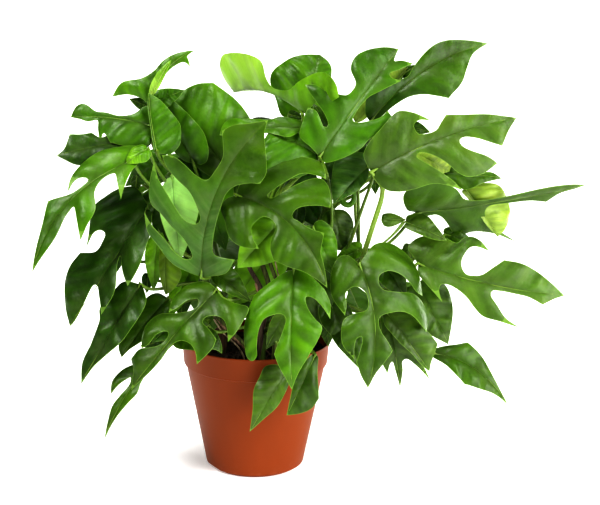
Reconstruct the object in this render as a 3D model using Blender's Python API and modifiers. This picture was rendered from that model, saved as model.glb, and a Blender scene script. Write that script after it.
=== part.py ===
"""A potted mini monstera: seven vine shoots with cut leaves, in a terracotta-coloured nursery pot.

Blender 4.5, metres, +Z up. Sizes and places below are in millimetres: the pot's axis is the Z axis, the pot
stands on z = 0, and the plant is seen from -Y.
"""

import math

import bmesh
import bpy
import numpy as np
from mathutils import Matrix, Vector
from mathutils.geometry import delaunay_2d_cdt

MM = 0.001
GAP = 0.3

# The nursery pot, a 17 cm one
POT_HEIGHT = 148.0
RIM_RADIUS = 85.0
COLLAR_FOOT_RADIUS = 82.6
COLLAR_HEIGHT = 26.0
COLLAR_STEP = 2.6
WALL = 1.6
LIP = 2.6
TAPER_FOOT_RADIUS = 59.3
TAPER_FOOT_HEIGHT = 16.0
FLOOR_UNDERSIDE = 7.0
FLOOR = 2.0
FOOT_RADIUS = 53.0
FOOT_WALL = 2.4
HUB_RADIUS = 14.0
POT_STEPS = 36
NOTCHES = 2
NOTCH_WIDTH = 29.0
NOTCH_HEIGHT = 4.6
NOTCH_DEPTH = 12.0
FIRST_NOTCH = 210.0
DRAINS = 8
DRAIN_RADIUS = 4.0
DRAIN_CIRCLE = 36.0
DRAIN_DEPTH = 8.0

# The soil, a plug of compost with an uneven top
SOIL_DEPTH = 14.0
SOIL_GAP = 0.5
SOIL_RELIEF = 1.6
SOIL_STEPS = 20
HOLE_SIDES = 16
HOLE_DEPTH = 60.0
SOIL_RINGS = (74.0, 60.0, 46.0, 32.0, 18.0, 6.0)
STEM_FOOT = 100.0

# Blades, petioles and stems
BLADE = 0.7
PETIOLE_RADIUS = 2.1
PETIOLE_END_RADIUS = 1.6
STEM_RADIUS = 5.2
STEM_TOP_RADIUS = 2.9
RIPPLE = 0.010
CURL_HALF_WIDTH = 0.45
CLEAR_OF_EDGE = 0.035
VIA_STEP = 35.0
TIP = True

# Sides of leaves, from the petiole to the tip: (along the midrib, out from it), in leaf lengths, TIP where sharp
ENTIRE = [(-0.06, 0.07), (-0.05, 0.18), (0.08, 0.27), (0.28, 0.30), (0.52, 0.24), (0.76, 0.13)]
SLIM = [(0.04, 0.07), (0.18, 0.14), (0.40, 0.17), (0.64, 0.13), (0.84, 0.06)]
ONE_CUT = [(-0.07, 0.08), (-0.06, 0.20), (0.08, 0.29), (0.30, 0.32), (0.50, 0.29, TIP), (0.40, 0.21), (0.33, 0.11),
           (0.40, 0.07), (0.52, 0.13), (0.66, 0.21, TIP), (0.82, 0.10)]
TWO_CUTS = [(-0.08, 0.08), (-0.07, 0.22), (0.04, 0.32), (0.20, 0.37), (0.38, 0.36, TIP), (0.27, 0.26), (0.20, 0.13),
            (0.27, 0.08), (0.38, 0.19), (0.50, 0.30), (0.66, 0.31, TIP), (0.56, 0.20), (0.49, 0.09), (0.56, 0.06),
            (0.66, 0.11), (0.77, 0.17, TIP), (0.89, 0.07)]
LATE_CUT = [(-0.06, 0.09), (-0.04, 0.22), (0.12, 0.31), (0.34, 0.33), (0.56, 0.27, TIP), (0.50, 0.17), (0.46, 0.08),
            (0.53, 0.05), (0.62, 0.11), (0.72, 0.16, TIP), (0.87, 0.07)]


def leaf(base, tip, face, left, right, bow=0.06, sweep=0.0, fold=(8, 8), curl=25, twist=0, lift=30, root=0.6,
         via=()):
    """A leaf: where its petiole ends and its tip lies, which way it faces (degrees round from -Y, degrees up), its
    outline, and how it bends. lift is how far under its base the petiole comes up; root is how high on its stem; via
    lists places that the petiole passes through."""
    return {"base": base, "tip": tip, "face": face, "left": left, "right": right, "bow": bow, "sweep": sweep,
            "fold": fold, "curl": curl, "twist": twist, "lift": lift, "root": root, "via": via}


LEFT_SHOOT = {
    "stem": [(-39, -12, STEM_FOOT), (-39, -12, 142), (-45, -14, 185), (-57, -18, 225), (-67, -20, 262)],
    "leaves": [
        leaf((-132, -50, 360), (-232, -100, 245), (-25, 30), bow=0.08, sweep=0.11, fold=(5, 5), curl=30,
             root=0.96,
             left=[(-0.02, 0.04), (0.05, 0.10), (0.20, 0.26, TIP), (0.15, 0.11), (0.14, 0.04), (0.22, 0.03),
                   (0.32, 0.09), (0.41, 0.21), (0.56, 0.24), (0.69, 0.26, TIP), (0.58, 0.17), (0.50, 0.07),
                   (0.57, 0.06), (0.77, 0.08)],
             right=[(-0.08, 0.03), (-0.09, 0.07), (-0.04, 0.11), (0.06, 0.15), (0.15, 0.18), (0.26, 0.17),
                    (0.37, 0.13), (0.45, 0.06, TIP), (0.37, 0.09), (0.32, 0.07), (0.30, 0.03), (0.36, 0.02),
                    (0.46, 0.04), (0.57, 0.13, TIP), (0.72, 0.06)]),
        leaf((-121, -28, 305), (-200, -75, 180), (-35, 20), sweep=-0.05, root=0.9,
             left=[(0.03, 0.06), (0.16, 0.16), (0.31, 0.22), (0.42, 0.25), (0.55, 0.25, TIP), (0.49, 0.15),
                   (0.40, 0.04), (0.46, 0.06), (0.62, 0.18), (0.79, 0.20, TIP), (0.73, 0.12), (0.67, 0.02),
                   (0.68, -0.03), (0.83, -0.01), (0.95, 0.01)],
             right=[(-0.03, 0.03), (-0.12, 0.17), (-0.13, 0.29), (-0.07, 0.43), (0.10, 0.47), (0.27, 0.40),
                    (0.45, 0.29, TIP), (0.34, 0.31), (0.29, 0.26), (0.30, 0.19), (0.35, 0.17), (0.46, 0.17),
                    (0.53, 0.30, TIP), (0.67, 0.30), (0.80, 0.25), (0.92, 0.13)]),
        leaf((-125, -60, 226), (-186, -90, 120), (-30, 25), sweep=-0.03, root=0.5,
             left=[(0.03, 0.06), (0.12, 0.17), (0.23, 0.19), (0.38, 0.18), (0.52, 0.16), (0.69, 0.08),
                   (0.83, 0.02)],
             right=[(0.05, 0.16), (0.20, 0.20), (0.35, 0.22), (0.46, 0.15), (0.66, 0.11), (0.85, 0.09)]),
        leaf((-96, -45, 207), (-145, -70, 144), (-20, 25), root=0.4,
             left=[(0.04, 0.09), (0.13, 0.17), (0.40, 0.18), (0.68, 0.11), (0.86, 0.03)],
             right=[(0.04, 0.16), (0.17, 0.23), (0.33, 0.20), (0.56, 0.17), (0.78, 0.15), (0.91, 0.12)]),
        leaf((-108, -80, 142), (-155, -110, 64), (-30, 30), sweep=0.03, lift=-20, root=0.2,
             left=[(0.02, 0.04), (0.14, 0.05), (0.26, 0.08), (0.38, 0.13), (0.56, 0.08), (0.78, 0.02)],
             right=[(0.04, 0.07), (0.17, 0.18), (0.28, 0.24), (0.42, 0.26), (0.54, 0.18, TIP), (0.43, 0.16),
                    (0.33, 0.12), (0.27, 0.08), (0.35, 0.04), (0.50, 0.06), (0.64, 0.08), (0.80, 0.05)]),
        leaf((-99, -40, 270), (-98, -50, 209), (-5, 10), root=0.7,
             left=[(0.10, 0.19), (0.46, 0.26), (0.65, 0.29), (0.88, 0.16)],
             right=[(0.14, 0.09), (0.47, 0.11), (0.79, 0.07)]),
        leaf((-92, -35, 340), (-82, -45, 245), (0, 10), left=ENTIRE, right=SLIM, root=0.8),
        leaf((-115, -50, 372), (-139, -54, 355), (-20, 25), fold=(0, 0), curl=30, root=0.96,
             left=[(0.03, 0.26), (0.32, 0.38), (0.74, 0.22)], right=[(0.12, 0.34), (0.54, 0.42),
                                                                     (0.85, 0.22)]),
        leaf((-100, -30, 321), (-102, -34, 243), (-5, 10), left=SLIM, right=SLIM, root=0.7),
        leaf((-107, -37, 280), (-113, -40, 210), (-5, 10), left=SLIM, right=SLIM, root=0.6),
    ],
}

FRONT_SHOOT = {
    "stem": [(8, -48, STEM_FOOT), (8, -48, 142), (11, -50, 170), (17, -52, 200), (21, -52, 225)],
    "leaves": [
        leaf((43, -80, 250), (43, -130, 130), (5, 35), bow=0.10, sweep=0.02, fold=(15, 5), curl=50, root=0.9,
             left=[(0.02, 0.08), (0.09, 0.18), (0.17, 0.27, TIP), (0.28, 0.32), (0.42, 0.32, TIP),
                   (0.32, 0.25), (0.25, 0.17), (0.25, 0.11), (0.34, 0.13), (0.43, 0.19), (0.50, 0.25),
                   (0.62, 0.21), (0.72, 0.15, TIP), (0.87, 0.06)],
             right=[(0.03, 0.06), (0.12, 0.12), (0.20, 0.20), (0.26, 0.30), (0.41, 0.38), (0.52, 0.40),
                    (0.67, 0.37, TIP), (0.57, 0.27), (0.47, 0.20), (0.41, 0.12), (0.42, 0.06), (0.50, 0.07),
                    (0.60, 0.10), (0.72, 0.15, TIP), (0.81, 0.10), (0.92, 0.04)]),
        leaf((38, -96, 142), (-2, -110, 75), (-5, 10), lift=-30, root=0.3,
             left=[(0.03, 0.06), (0.12, 0.11), (0.30, 0.14), (0.51, 0.14), (0.76, 0.07)],
             right=[(0.01, 0.10), (0.04, 0.19), (0.13, 0.28), (0.28, 0.27), (0.48, 0.24), (0.73, 0.11)]),
        leaf((68, -93, 158), (38, -112, 95), (10, 10), lift=-15, root=0.4,
             left=[(0.02, 0.06), (0.26, 0.15), (0.57, 0.32, TIP), (0.74, 0.29), (0.88, 0.17)],
             right=[(0.02, 0.05), (0.19, 0.11), (0.47, 0.13), (0.75, 0.07)]),
        leaf((38, -65, 205), (13, -72, 155), (0, 10), left=ENTIRE, right=SLIM, root=0.6),
        leaf((-47, -84, 186), (-89, -92, 172), (-20, 35), fold=(5, 5), curl=20, root=0.3,
             left=[(-0.12, 0.20), (-0.16, 0.50), (-0.12, 0.72, TIP), (0.06, 0.62), (0.50, 0.50),
                   (0.90, 0.28)],
             right=[(0.00, 0.16), (0.22, 0.23), (0.61, 0.18), (0.86, 0.11)]),
        leaf((-39, -86, 228), (-127, -122, 125), (-20, 40), bow=0.08, sweep=-0.02, fold=(5, 5), curl=40, lift=55,
             root=0.8,
             left=[(0.03, 0.09), (0.01, 0.20), (-0.03, 0.30), (0.08, 0.35), (0.17, 0.37), (0.26, 0.37, TIP),
                   (0.20, 0.31), (0.16, 0.24), (0.17, 0.17), (0.22, 0.11), (0.27, 0.12), (0.28, 0.19),
                   (0.30, 0.29, TIP), (0.38, 0.31), (0.53, 0.30, TIP), (0.47, 0.23), (0.45, 0.16),
                   (0.47, 0.09), (0.52, 0.05), (0.58, 0.04), (0.68, 0.05), (0.80, 0.04), (0.90, 0.02)],
             right=[(0.00, 0.11), (0.07, 0.21), (0.16, 0.25), (0.27, 0.24), (0.37, 0.17, TIP), (0.30, 0.14),
                    (0.21, 0.12), (0.15, 0.07), (0.17, 0.03), (0.24, 0.03), (0.33, 0.10), (0.43, 0.23),
                    (0.55, 0.26), (0.65, 0.22), (0.72, 0.15, TIP), (0.66, 0.12), (0.57, 0.12), (0.51, 0.09),
                    (0.49, 0.05), (0.53, 0.03), (0.60, 0.04), (0.66, 0.08), (0.74, 0.16), (0.84, 0.17, TIP),
                    (0.88, 0.09), (0.94, 0.04)]),
    ],
}

RIGHT_SHOOT = {
    "stem": [(48, -18, STEM_FOOT), (48, -18, 142), (53, -22, 175), (63, -26, 210), (73, -28, 240)],
    "leaves": [
        leaf((113, -75, 255), (123, -120, 130), (10, 35), bow=0.08, sweep=-0.08, fold=(10, 10), curl=50,
             root=0.96,
             left=[(-0.05, 0.08), (-0.10, 0.18), (-0.10, 0.29), (-0.05, 0.39), (0.06, 0.48), (0.16, 0.52),
                   (0.31, 0.51, TIP), (0.28, 0.42), (0.22, 0.37), (0.16, 0.30), (0.12, 0.21), (0.13, 0.12),
                   (0.19, 0.09), (0.25, 0.12), (0.28, 0.24), (0.30, 0.39), (0.36, 0.50), (0.44, 0.56),
                   (0.56, 0.49, TIP), (0.51, 0.42), (0.45, 0.33), (0.42, 0.24), (0.42, 0.14), (0.44, 0.05),
                   (0.50, 0.03), (0.57, 0.05), (0.64, 0.10), (0.70, 0.14, TIP), (0.80, 0.08), (0.89, 0.03)],
             right=[(-0.06, 0.03), (-0.10, 0.07), (-0.10, 0.14), (-0.03, 0.23), (0.08, 0.29), (0.23, 0.30),
                    (0.41, 0.24, TIP), (0.30, 0.21), (0.21, 0.20), (0.17, 0.15), (0.17, 0.09), (0.22, 0.04),
                    (0.28, 0.03), (0.35, 0.04), (0.39, 0.08), (0.40, 0.16), (0.44, 0.25), (0.56, 0.28),
                    (0.69, 0.26), (0.80, 0.16, TIP), (0.71, 0.17), (0.63, 0.16), (0.60, 0.12), (0.65, 0.11),
                    (0.82, 0.14, TIP), (0.92, 0.08)]),
        leaf((178, -45, 250), (338, -60, 220), (15, 25), sweep=0.05, root=0.9,
             left=[(-0.05, 0.04), (-0.10, 0.08), (-0.08, 0.15), (-0.01, 0.21), (0.11, 0.23), (0.20, 0.22),
                   (0.24, 0.27), (0.30, 0.29), (0.37, 0.27), (0.44, 0.22, TIP), (0.36, 0.23), (0.30, 0.21),
                   (0.27, 0.13), (0.28, 0.07), (0.32, 0.03), (0.37, 0.03), (0.43, 0.05), (0.49, 0.11),
                   (0.56, 0.18, TIP), (0.68, 0.18), (0.78, 0.15), (0.90, 0.08)],
             right=[(0.03, 0.07), (0.10, 0.12), (0.16, 0.16), (0.23, 0.21, TIP), (0.19, 0.14), (0.19, 0.09),
                    (0.25, 0.08), (0.35, 0.12), (0.43, 0.19), (0.49, 0.23), (0.59, 0.24), (0.71, 0.26, TIP),
                    (0.62, 0.21), (0.56, 0.14), (0.51, 0.08), (0.52, 0.04), (0.58, 0.03), (0.66, 0.03),
                    (0.76, 0.04), (0.85, 0.08, TIP), (0.93, 0.03)]),
        leaf((198, -50, 150), (283, -60, 95), (15, 35), sweep=-0.11, lift=-20, root=0.2,
             left=[(0.02, 0.05), (0.08, 0.09), (0.22, 0.16), (0.31, 0.23, TIP), (0.46, 0.18), (0.64, 0.09),
                   (0.83, 0.03)],
             right=[(0.02, 0.05), (0.14, 0.10), (0.31, 0.18), (0.46, 0.23, TIP), (0.65, 0.17), (0.85, 0.06)]),
        leaf((181, -38, 222), (216, -48, 158), (10, 20), left=ENTIRE, right=SLIM, root=0.6),
        leaf((143, -62, 200), (193, -75, 135), (5, 20), root=0.5,
             left=[(0.02, 0.06), (0.07, 0.09), (0.19, 0.21), (0.38, 0.25), (0.59, 0.29), (0.77, 0.30, TIP),
                   (0.84, 0.20), (0.91, 0.09)],
             right=[(0.02, 0.06), (0.13, 0.12), (0.30, 0.12), (0.48, 0.10), (0.67, 0.06), (0.86, 0.04)]),
        leaf((148, -52, 195), (163, -58, 110), (0, 20), root=0.4,
             left=[(0.05, 0.08), (0.20, 0.14), (0.34, 0.18), (0.53, 0.26), (0.98, 0.40, TIP), (0.76, 0.26),
                   (0.63, 0.14), (0.66, 0.07), (0.78, 0.06)],
             right=[(0.05, 0.08), (0.20, 0.13), (0.39, 0.17), (0.60, 0.19), (0.78, 0.14, TIP), (0.66, 0.09),
                    (0.64, 0.05), (0.77, 0.03)]),
        leaf((163, -38, 295), (208, -55, 278), (10, 30), fold=(5, 5), curl=30, root=0.8, via=[(141, -40, 270)],
             left=[(-0.02, 0.18), (0.28, 0.35), (0.63, 0.20)], right=[(0.06, 0.12), (0.43, 0.15),
                                                                      (0.79, 0.11)]),
        leaf((163, -38, 297), (137, -36, 295), (0, 20), bow=0.02, fold=(5, 5), curl=30, root=0.8,
             via=[(141, -40, 270)],
             left=[(0.21, 0.15), (0.59, 0.28), (0.88, 0.23)], right=[(0.20, 0.14), (0.57, 0.29),
                                                                     (0.91, 0.25)]),
        leaf((83, -48, 205), (108, -60, 150), (10, 20), left=ENTIRE, right=ENTIRE, root=0.3),
        leaf((65, -42, 248), (71, -46, 167), (0, 10), left=ENTIRE, right=ENTIRE, root=0.6),
        leaf((141, -42, 249), (169, -46, 206), (10, 20), left=ENTIRE, right=ENTIRE, root=0.6),
    ],
}

CENTRE_SHOOT = {
    "stem": [(5, 0, STEM_FOOT), (5, 0, 142), (5, -2, 200), (7, -8, 250), (11, -14, 295)],
    "leaves": [
        leaf((-22, -60, 325), (78, -110, 235), (0, 20), sweep=-0.13, root=0.95,
             left=[(0.01, 0.10), (0.07, 0.25), (0.17, 0.39), (0.25, 0.48), (0.33, 0.53), (0.38, 0.50),
                   (0.43, 0.44, TIP), (0.38, 0.42), (0.31, 0.36), (0.27, 0.25), (0.23, 0.14), (0.21, 0.08),
                   (0.24, 0.07), (0.28, 0.13), (0.33, 0.27), (0.37, 0.37), (0.41, 0.42), (0.46, 0.41),
                   (0.51, 0.37), (0.57, 0.30, TIP), (0.51, 0.24), (0.44, 0.14), (0.43, 0.08), (0.45, 0.05),
                   (0.50, 0.06), (0.58, 0.08), (0.64, 0.12), (0.67, 0.15, TIP), (0.76, 0.06), (0.83, 0.04),
                   (0.92, 0.02)],
             right=[(-0.05, 0.05), (-0.06, 0.13), (0.00, 0.22), (0.08, 0.32), (0.20, 0.35), (0.33, 0.33),
                    (0.43, 0.29, TIP), (0.32, 0.26), (0.24, 0.20), (0.24, 0.14), (0.27, 0.08), (0.33, 0.06),
                    (0.40, 0.08), (0.43, 0.12), (0.45, 0.17), (0.51, 0.23), (0.62, 0.27, TIP), (0.75, 0.20),
                    (0.84, 0.12), (0.93, 0.05)]),
        leaf((-57, -75, 235), (13, -75, 405), (-10, 10), bow=0.03, sweep=-0.11, curl=10, root=0.6,
             left=[(0.03, 0.08), (0.07, 0.17), (0.15, 0.26), (0.21, 0.33), (0.29, 0.37, TIP), (0.24, 0.31),
                   (0.19, 0.23), (0.14, 0.17), (0.10, 0.11), (0.10, 0.06), (0.13, 0.06), (0.20, 0.11),
                   (0.25, 0.19), (0.30, 0.27), (0.33, 0.34), (0.39, 0.38), (0.51, 0.41, TIP), (0.45, 0.35),
                   (0.40, 0.27), (0.35, 0.20), (0.30, 0.13), (0.29, 0.06), (0.33, 0.04), (0.40, 0.09),
                   (0.45, 0.15), (0.48, 0.24), (0.51, 0.32), (0.55, 0.38, TIP), (0.57, 0.31), (0.56, 0.23),
                   (0.54, 0.15), (0.54, 0.08), (0.60, 0.06), (0.69, 0.06), (0.75, 0.10), (0.80, 0.15, TIP),
                   (0.86, 0.12), (0.92, 0.06)],
             right=[(0.01, 0.06), (0.04, 0.16), (0.13, 0.21, TIP), (0.13, 0.13), (0.15, 0.07), (0.25, 0.06),
                    (0.42, 0.06), (0.52, 0.06), (0.59, 0.09), (0.65, 0.15), (0.69, 0.21, TIP), (0.78, 0.20),
                    (0.87, 0.12), (0.94, 0.04)]),
        leaf((68, -50, 365), (153, 0, 480), (5, 30), root=0.5, via=[(82, -32, 262), (83, -36, 300)],
             left=[(0.02, 0.09), (0.04, 0.20), (0.13, 0.24), (0.24, 0.27, TIP), (0.25, 0.20), (0.19, 0.10),
                   (0.22, 0.08), (0.27, 0.15), (0.32, 0.28), (0.37, 0.39, TIP), (0.41, 0.32), (0.41, 0.24),
                   (0.44, 0.15), (0.48, 0.09), (0.58, 0.09), (0.65, 0.18), (0.74, 0.21), (0.83, 0.18),
                   (0.94, 0.09)],
             right=[(-0.01, 0.06), (0.09, 0.15), (0.21, 0.21), (0.29, 0.22), (0.38, 0.26), (0.46, 0.32),
                    (0.51, 0.28), (0.54, 0.21, TIP), (0.48, 0.20), (0.42, 0.16), (0.35, 0.09), (0.35, 0.04),
                    (0.44, 0.03), (0.55, 0.04), (0.63, 0.08), (0.79, 0.16, TIP), (0.77, 0.09), (0.80, 0.06),
                    (0.86, 0.10), (0.96, 0.15, TIP), (0.93, 0.07), (0.90, 0.03)]),
        leaf((48, 0, 405), (-32, 110, 420), (-60, -5), bow=0.03, sweep=0.10, fold=(-75, 0), curl=10, root=0.9,
             left=[(0.10, 0.06), (0.30, 0.12), (0.55, 0.14), (0.80, 0.08)],
             right=[(-0.09, 0.18), (-0.20, 0.25), (-0.27, 0.34, TIP), (-0.20, 0.41), (-0.09, 0.42),
                    (0.00, 0.38), (0.11, 0.24), (0.20, 0.11), (0.32, 0.06), (0.42, 0.06), (0.49, 0.12),
                    (0.55, 0.23), (0.69, 0.28), (0.95, 0.33), (1.10, 0.35), (1.16, 0.28), (1.11, 0.14)]),
        leaf((58, -25, 395), (-42, -20, 385), (0, 60), root=0.8,
             left=[(0.02, 0.06), (0.12, 0.10), (0.22, 0.19), (0.36, 0.16), (0.47, 0.11), (0.75, 0.08),
                   (0.90, 0.04)],
             right=[(0.02, 0.07), (0.16, 0.14), (0.32, 0.17), (0.46, 0.13), (0.66, 0.19), (0.87, 0.25),
                    (0.96, 0.17)]),
        leaf((63, -55, 290), (88, -60, 235), (10, 10), left=ENTIRE, right=ENTIRE, root=0.5),
        leaf((68, -36, 366), (13, -34, 390), (0, 35), curl=20, root=0.95,
             left=[(-0.06, 0.25), (0.19, 0.61), (0.55, 0.80), (0.85, 0.64), (1.00, 0.30)],
             right=[(0.13, 0.14), (0.43, 0.19), (0.79, 0.16)]),
        leaf((26, -56, 293), (-18, -72, 246), (10, 15), fold=(10, 10), curl=20, root=0.7,
             left=[(0.02, 0.12), (0.13, 0.22), (0.40, 0.39), (0.72, 0.24)],
             right=[(0.01, 0.20), (0.24, 0.39), (0.53, 0.32), (0.80, 0.16)]),
        leaf((-47, -60, 240), (-2, -82, 212), (0, 30), left=ENTIRE, right=SLIM, root=0.4),
        leaf((21, -34, 259), (-33, -36, 190), (0, 15), left=ENTIRE, right=ENTIRE, root=0.3),
        leaf((108, 8, 396), (171, 22, 464), (5, 20), root=0.9,
             left=[(0.07, 0.12), (0.27, 0.14), (0.52, 0.12), (0.77, 0.10)],
             right=[(0.13, 0.05), (0.40, 0.03), (0.67, 0.04), (0.78, 0.03)]),
    ],
}

BACK_LEFT_SHOOT = {
    "stem": [(-33, 36, STEM_FOOT), (-33, 36, 142), (-39, 34, 200), (-51, 28, 255), (-63, 20, 300)],
    "leaves": [
        leaf((-119, -10, 420), (-71, 0, 474), (-10, 15), bow=0.03, sweep=-0.12, fold=(0, 0), curl=8, root=0.96,
             left=[(-0.04, 0.05), (-0.01, 0.15), (-0.01, 0.36), (-0.09, 0.62, TIP), (0.09, 0.51),
                   (0.21, 0.26), (0.38, 0.14), (0.58, 0.13), (0.77, 0.09)],
             right=[(0.04, 0.03), (0.15, 0.02), (0.22, 0.05), (0.37, 0.03), (0.59, 0.04), (0.76, 0.07),
                    (0.82, 0.13), (0.84, 0.21, TIP), (0.87, 0.09), (0.88, 0.03)]),
        leaf((-115, -20, 393), (-207, -8, 400), (-15, 30), bow=0.05, sweep=0.03, fold=(0, 10), curl=20,
             root=0.9,
             left=[(-0.03, 0.23), (0.21, 0.31), (0.44, 0.31, TIP), (0.55, 0.20), (0.58, 0.33, TIP),
                   (0.63, 0.16), (0.66, 0.04), (0.78, 0.06), (0.88, 0.03)],
             right=[(0.00, 0.14), (0.12, 0.22), (0.24, 0.09), (0.41, 0.04), (0.57, 0.06), (0.70, 0.07),
                    (0.83, 0.15), (0.93, 0.13)]),
        leaf((-107, -35, 367), (-117, -25, 428), (25, 15), bow=-0.05, fold=(0, 0), curl=-30, root=0.93,
             left=[(0.02, 0.04), (0.10, 0.04), (0.45, 0.03), (0.76, 0.03)],
             right=[(-0.06, 0.10), (-0.08, 0.24), (0.06, 0.43), (0.33, 0.49), (0.53, 0.42), (0.83, 0.23)]),
        leaf((-117, -10, 380), (-217, -35, 360), (-20, 20), root=0.66,
             left=[(0.02, 0.08), (0.18, 0.16), (0.50, 0.20), (0.67, 0.20), (0.82, 0.16), (0.92, 0.08)],
             right=[(0.02, 0.08), (0.20, 0.14), (0.40, 0.10), (0.52, 0.08), (0.60, 0.15, TIP), (0.71, 0.16),
                    (0.82, 0.19, TIP), (0.90, 0.06)]),
        leaf((-27, 0, 335), (-97, 20, 415), (-15, 25), root=0.87,
             left=[(0.02, 0.08), (0.20, 0.14), (0.45, 0.16), (0.70, 0.12), (0.90, 0.08)],
             right=[(0.02, 0.16), (0.12, 0.32), (0.28, 0.48), (0.40, 0.53), (0.64, 0.53), (0.90, 0.46, TIP),
                    (0.99, 0.32), (1.03, 0.15)]),
        leaf((-72, -5, 350), (-112, 20, 430), (-25, 10), left=SLIM, right=ENTIRE, root=0.8),
        leaf((-117, 50, 300), (-192, 95, 250), (-70, 35), left=TWO_CUTS, right=ONE_CUT, root=0.5),
        leaf((-102, 62, 330), (-162, 140, 285), (-110, 45), left=ONE_CUT, right=TWO_CUTS, root=0.76),
        leaf((-77, 90, 350), (-127, 200, 310), (-150, 40), left=TWO_CUTS, right=TWO_CUTS, root=0.84),
        leaf((-57, 100, 235), (-87, 180, 130), (-150, 25), left=ONE_CUT, right=ONE_CUT, root=0.4),
        leaf((-71, 8, 354), (-35, 4, 248), (0, 10), left=ENTIRE, right=ENTIRE, root=0.72),
        leaf((-105, 10, 354), (-152, 14, 320), (-10, 15), left=ENTIRE, right=ENTIRE, root=0.69),
    ],
}

BACK_RIGHT_SHOOT = {
    "stem": [(41, 30, STEM_FOOT), (41, 30, 142), (49, 26, 200), (63, 18, 255), (79, 8, 305)],
    "leaves": [
        leaf((123, -15, 400), (253, 15, 490), (10, 20), sweep=-0.08, fold=(20, 5), curl=15, root=0.3,
             via=[(106, -20, 269), (116, -18, 302), (128, -16, 337)],
             left=[(0.02, 0.06), (0.06, 0.10), (0.12, 0.14), (0.19, 0.13), (0.32, 0.06), (0.39, 0.04),
                   (0.44, 0.06), (0.55, 0.10), (0.65, 0.12), (0.73, 0.11), (0.84, 0.07)],
             right=[(0.02, 0.03), (0.18, 0.05), (0.31, 0.08), (0.40, 0.13), (0.47, 0.19), (0.54, 0.25, TIP),
                    (0.70, 0.20), (0.79, 0.12), (0.88, 0.04)]),
        leaf((123, -55, 350), (278, -45, 410), (15, 20), sweep=-0.04, root=0.3,
             via=[(119, -32, 254), (129, -34, 290), (138, -38, 322)],
             left=[(0.00, 0.06), (0.02, 0.13), (0.10, 0.18), (0.19, 0.22), (0.28, 0.26), (0.33, 0.26),
                   (0.40, 0.21), (0.47, 0.13, TIP), (0.41, 0.16), (0.37, 0.15), (0.36, 0.12), (0.37, 0.08),
                   (0.42, 0.06), (0.48, 0.06), (0.52, 0.09), (0.57, 0.13, TIP), (0.66, 0.10), (0.82, 0.06),
                   (0.91, 0.03)],
             right=[(0.00, 0.07), (0.03, 0.15), (0.10, 0.20), (0.20, 0.23), (0.33, 0.25), (0.42, 0.30),
                    (0.50, 0.36, TIP), (0.46, 0.28), (0.39, 0.18), (0.33, 0.10), (0.30, 0.05), (0.33, 0.03),
                    (0.39, 0.07), (0.46, 0.15), (0.51, 0.24), (0.57, 0.29), (0.68, 0.30), (0.80, 0.26, TIP),
                    (0.74, 0.20), (0.65, 0.14), (0.60, 0.09), (0.60, 0.05), (0.64, 0.04), (0.71, 0.07),
                    (0.79, 0.12), (0.86, 0.16, TIP), (0.92, 0.08)]),
        leaf((175, -20, 298), (368, 0, 331), (10, -30), bow=0.03, fold=(10, 0), curl=10, root=0.4,
             via=[(141, -26, 262)],
             left=[(-0.04, 0.04), (-0.06, 0.16), (0.00, 0.23), (0.13, 0.24), (0.23, 0.17), (0.29, 0.08),
                   (0.42, 0.06), (0.54, 0.07), (0.68, 0.10), (0.80, 0.10), (0.92, 0.06)],
             right=[(0.06, 0.03), (0.13, 0.03), (0.18, 0.08), (0.24, 0.22, TIP), (0.34, 0.19), (0.47, 0.24),
                    (0.61, 0.35, TIP), (0.48, 0.20), (0.41, 0.08), (0.43, 0.02), (0.54, 0.02), (0.67, 0.03),
                    (0.77, 0.06, TIP), (0.85, 0.02), (0.94, 0.01)]),
        leaf((232, -7, 328), (273, -3, 272), (10, 15), fold=(5, 5), curl=20, root=0.5,
             via=[(118, 14, 245), (113, 12, 325), (168, 10, 342)],
             left=[(-0.02, 0.12), (0.10, 0.28), (0.30, 0.49), (0.58, 0.52), (0.81, 0.40), (0.97, 0.18)],
             right=[(0.02, 0.07), (0.17, 0.06), (0.46, 0.06), (0.71, 0.06)]),
        leaf((171, -10, 368), (215, -5, 346), (15, 20), fold=(5, 5), curl=20, root=0.9,
             via=[(121, 0, 338)],
             left=[(0.02, 0.10), (0.24, 0.20), (0.68, 0.25), (0.95, 0.18)],
             right=[(0.11, 0.20), (0.44, 0.30), (0.79, 0.18)]),
        leaf((86, -8, 302), (96, -14, 255), (15, 15), fold=(5, 5), curl=20, root=0.6,
             left=[(0.08, 0.26), (0.31, 0.39), (0.58, 0.38), (0.88, 0.23)],
             right=[(0.06, 0.24), (0.39, 0.40), (0.82, 0.32)]),
        leaf((188, 5, 345), (273, -5, 340), (10, 30), root=0.3, via=[(116, 2, 247), (113, -2, 325)],
             left=[(0.05, 0.08), (0.20, 0.12), (0.35, 0.10), (0.53, 0.05), (0.73, 0.05), (0.87, 0.06)],
             right=[(0.05, 0.08), (0.20, 0.14), (0.37, 0.17), (0.55, 0.23), (0.76, 0.11), (0.86, 0.06)]),
        leaf((123, -20, 354), (84, -34, 311), (-5, 20), root=0.6,
             left=[(0.08, 0.08), (0.25, 0.17), (0.53, 0.17), (0.76, 0.09)],
             right=[(-0.12, 0.22), (0.09, 0.46), (0.35, 0.52), (0.69, 0.31)]),
        leaf((133, 55, 225), (218, 95, 150), (60, 30), left=ONE_CUT, right=TWO_CUTS, root=0.5),
        leaf((113, 90, 330), (193, 170, 300), (130, 40), left=TWO_CUTS, right=ONE_CUT, root=0.9),
        leaf((93, 95, 220), (133, 160, 130), (150, 25), left=TWO_CUTS, right=ONE_CUT, root=0.4),
    ],
}

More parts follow.
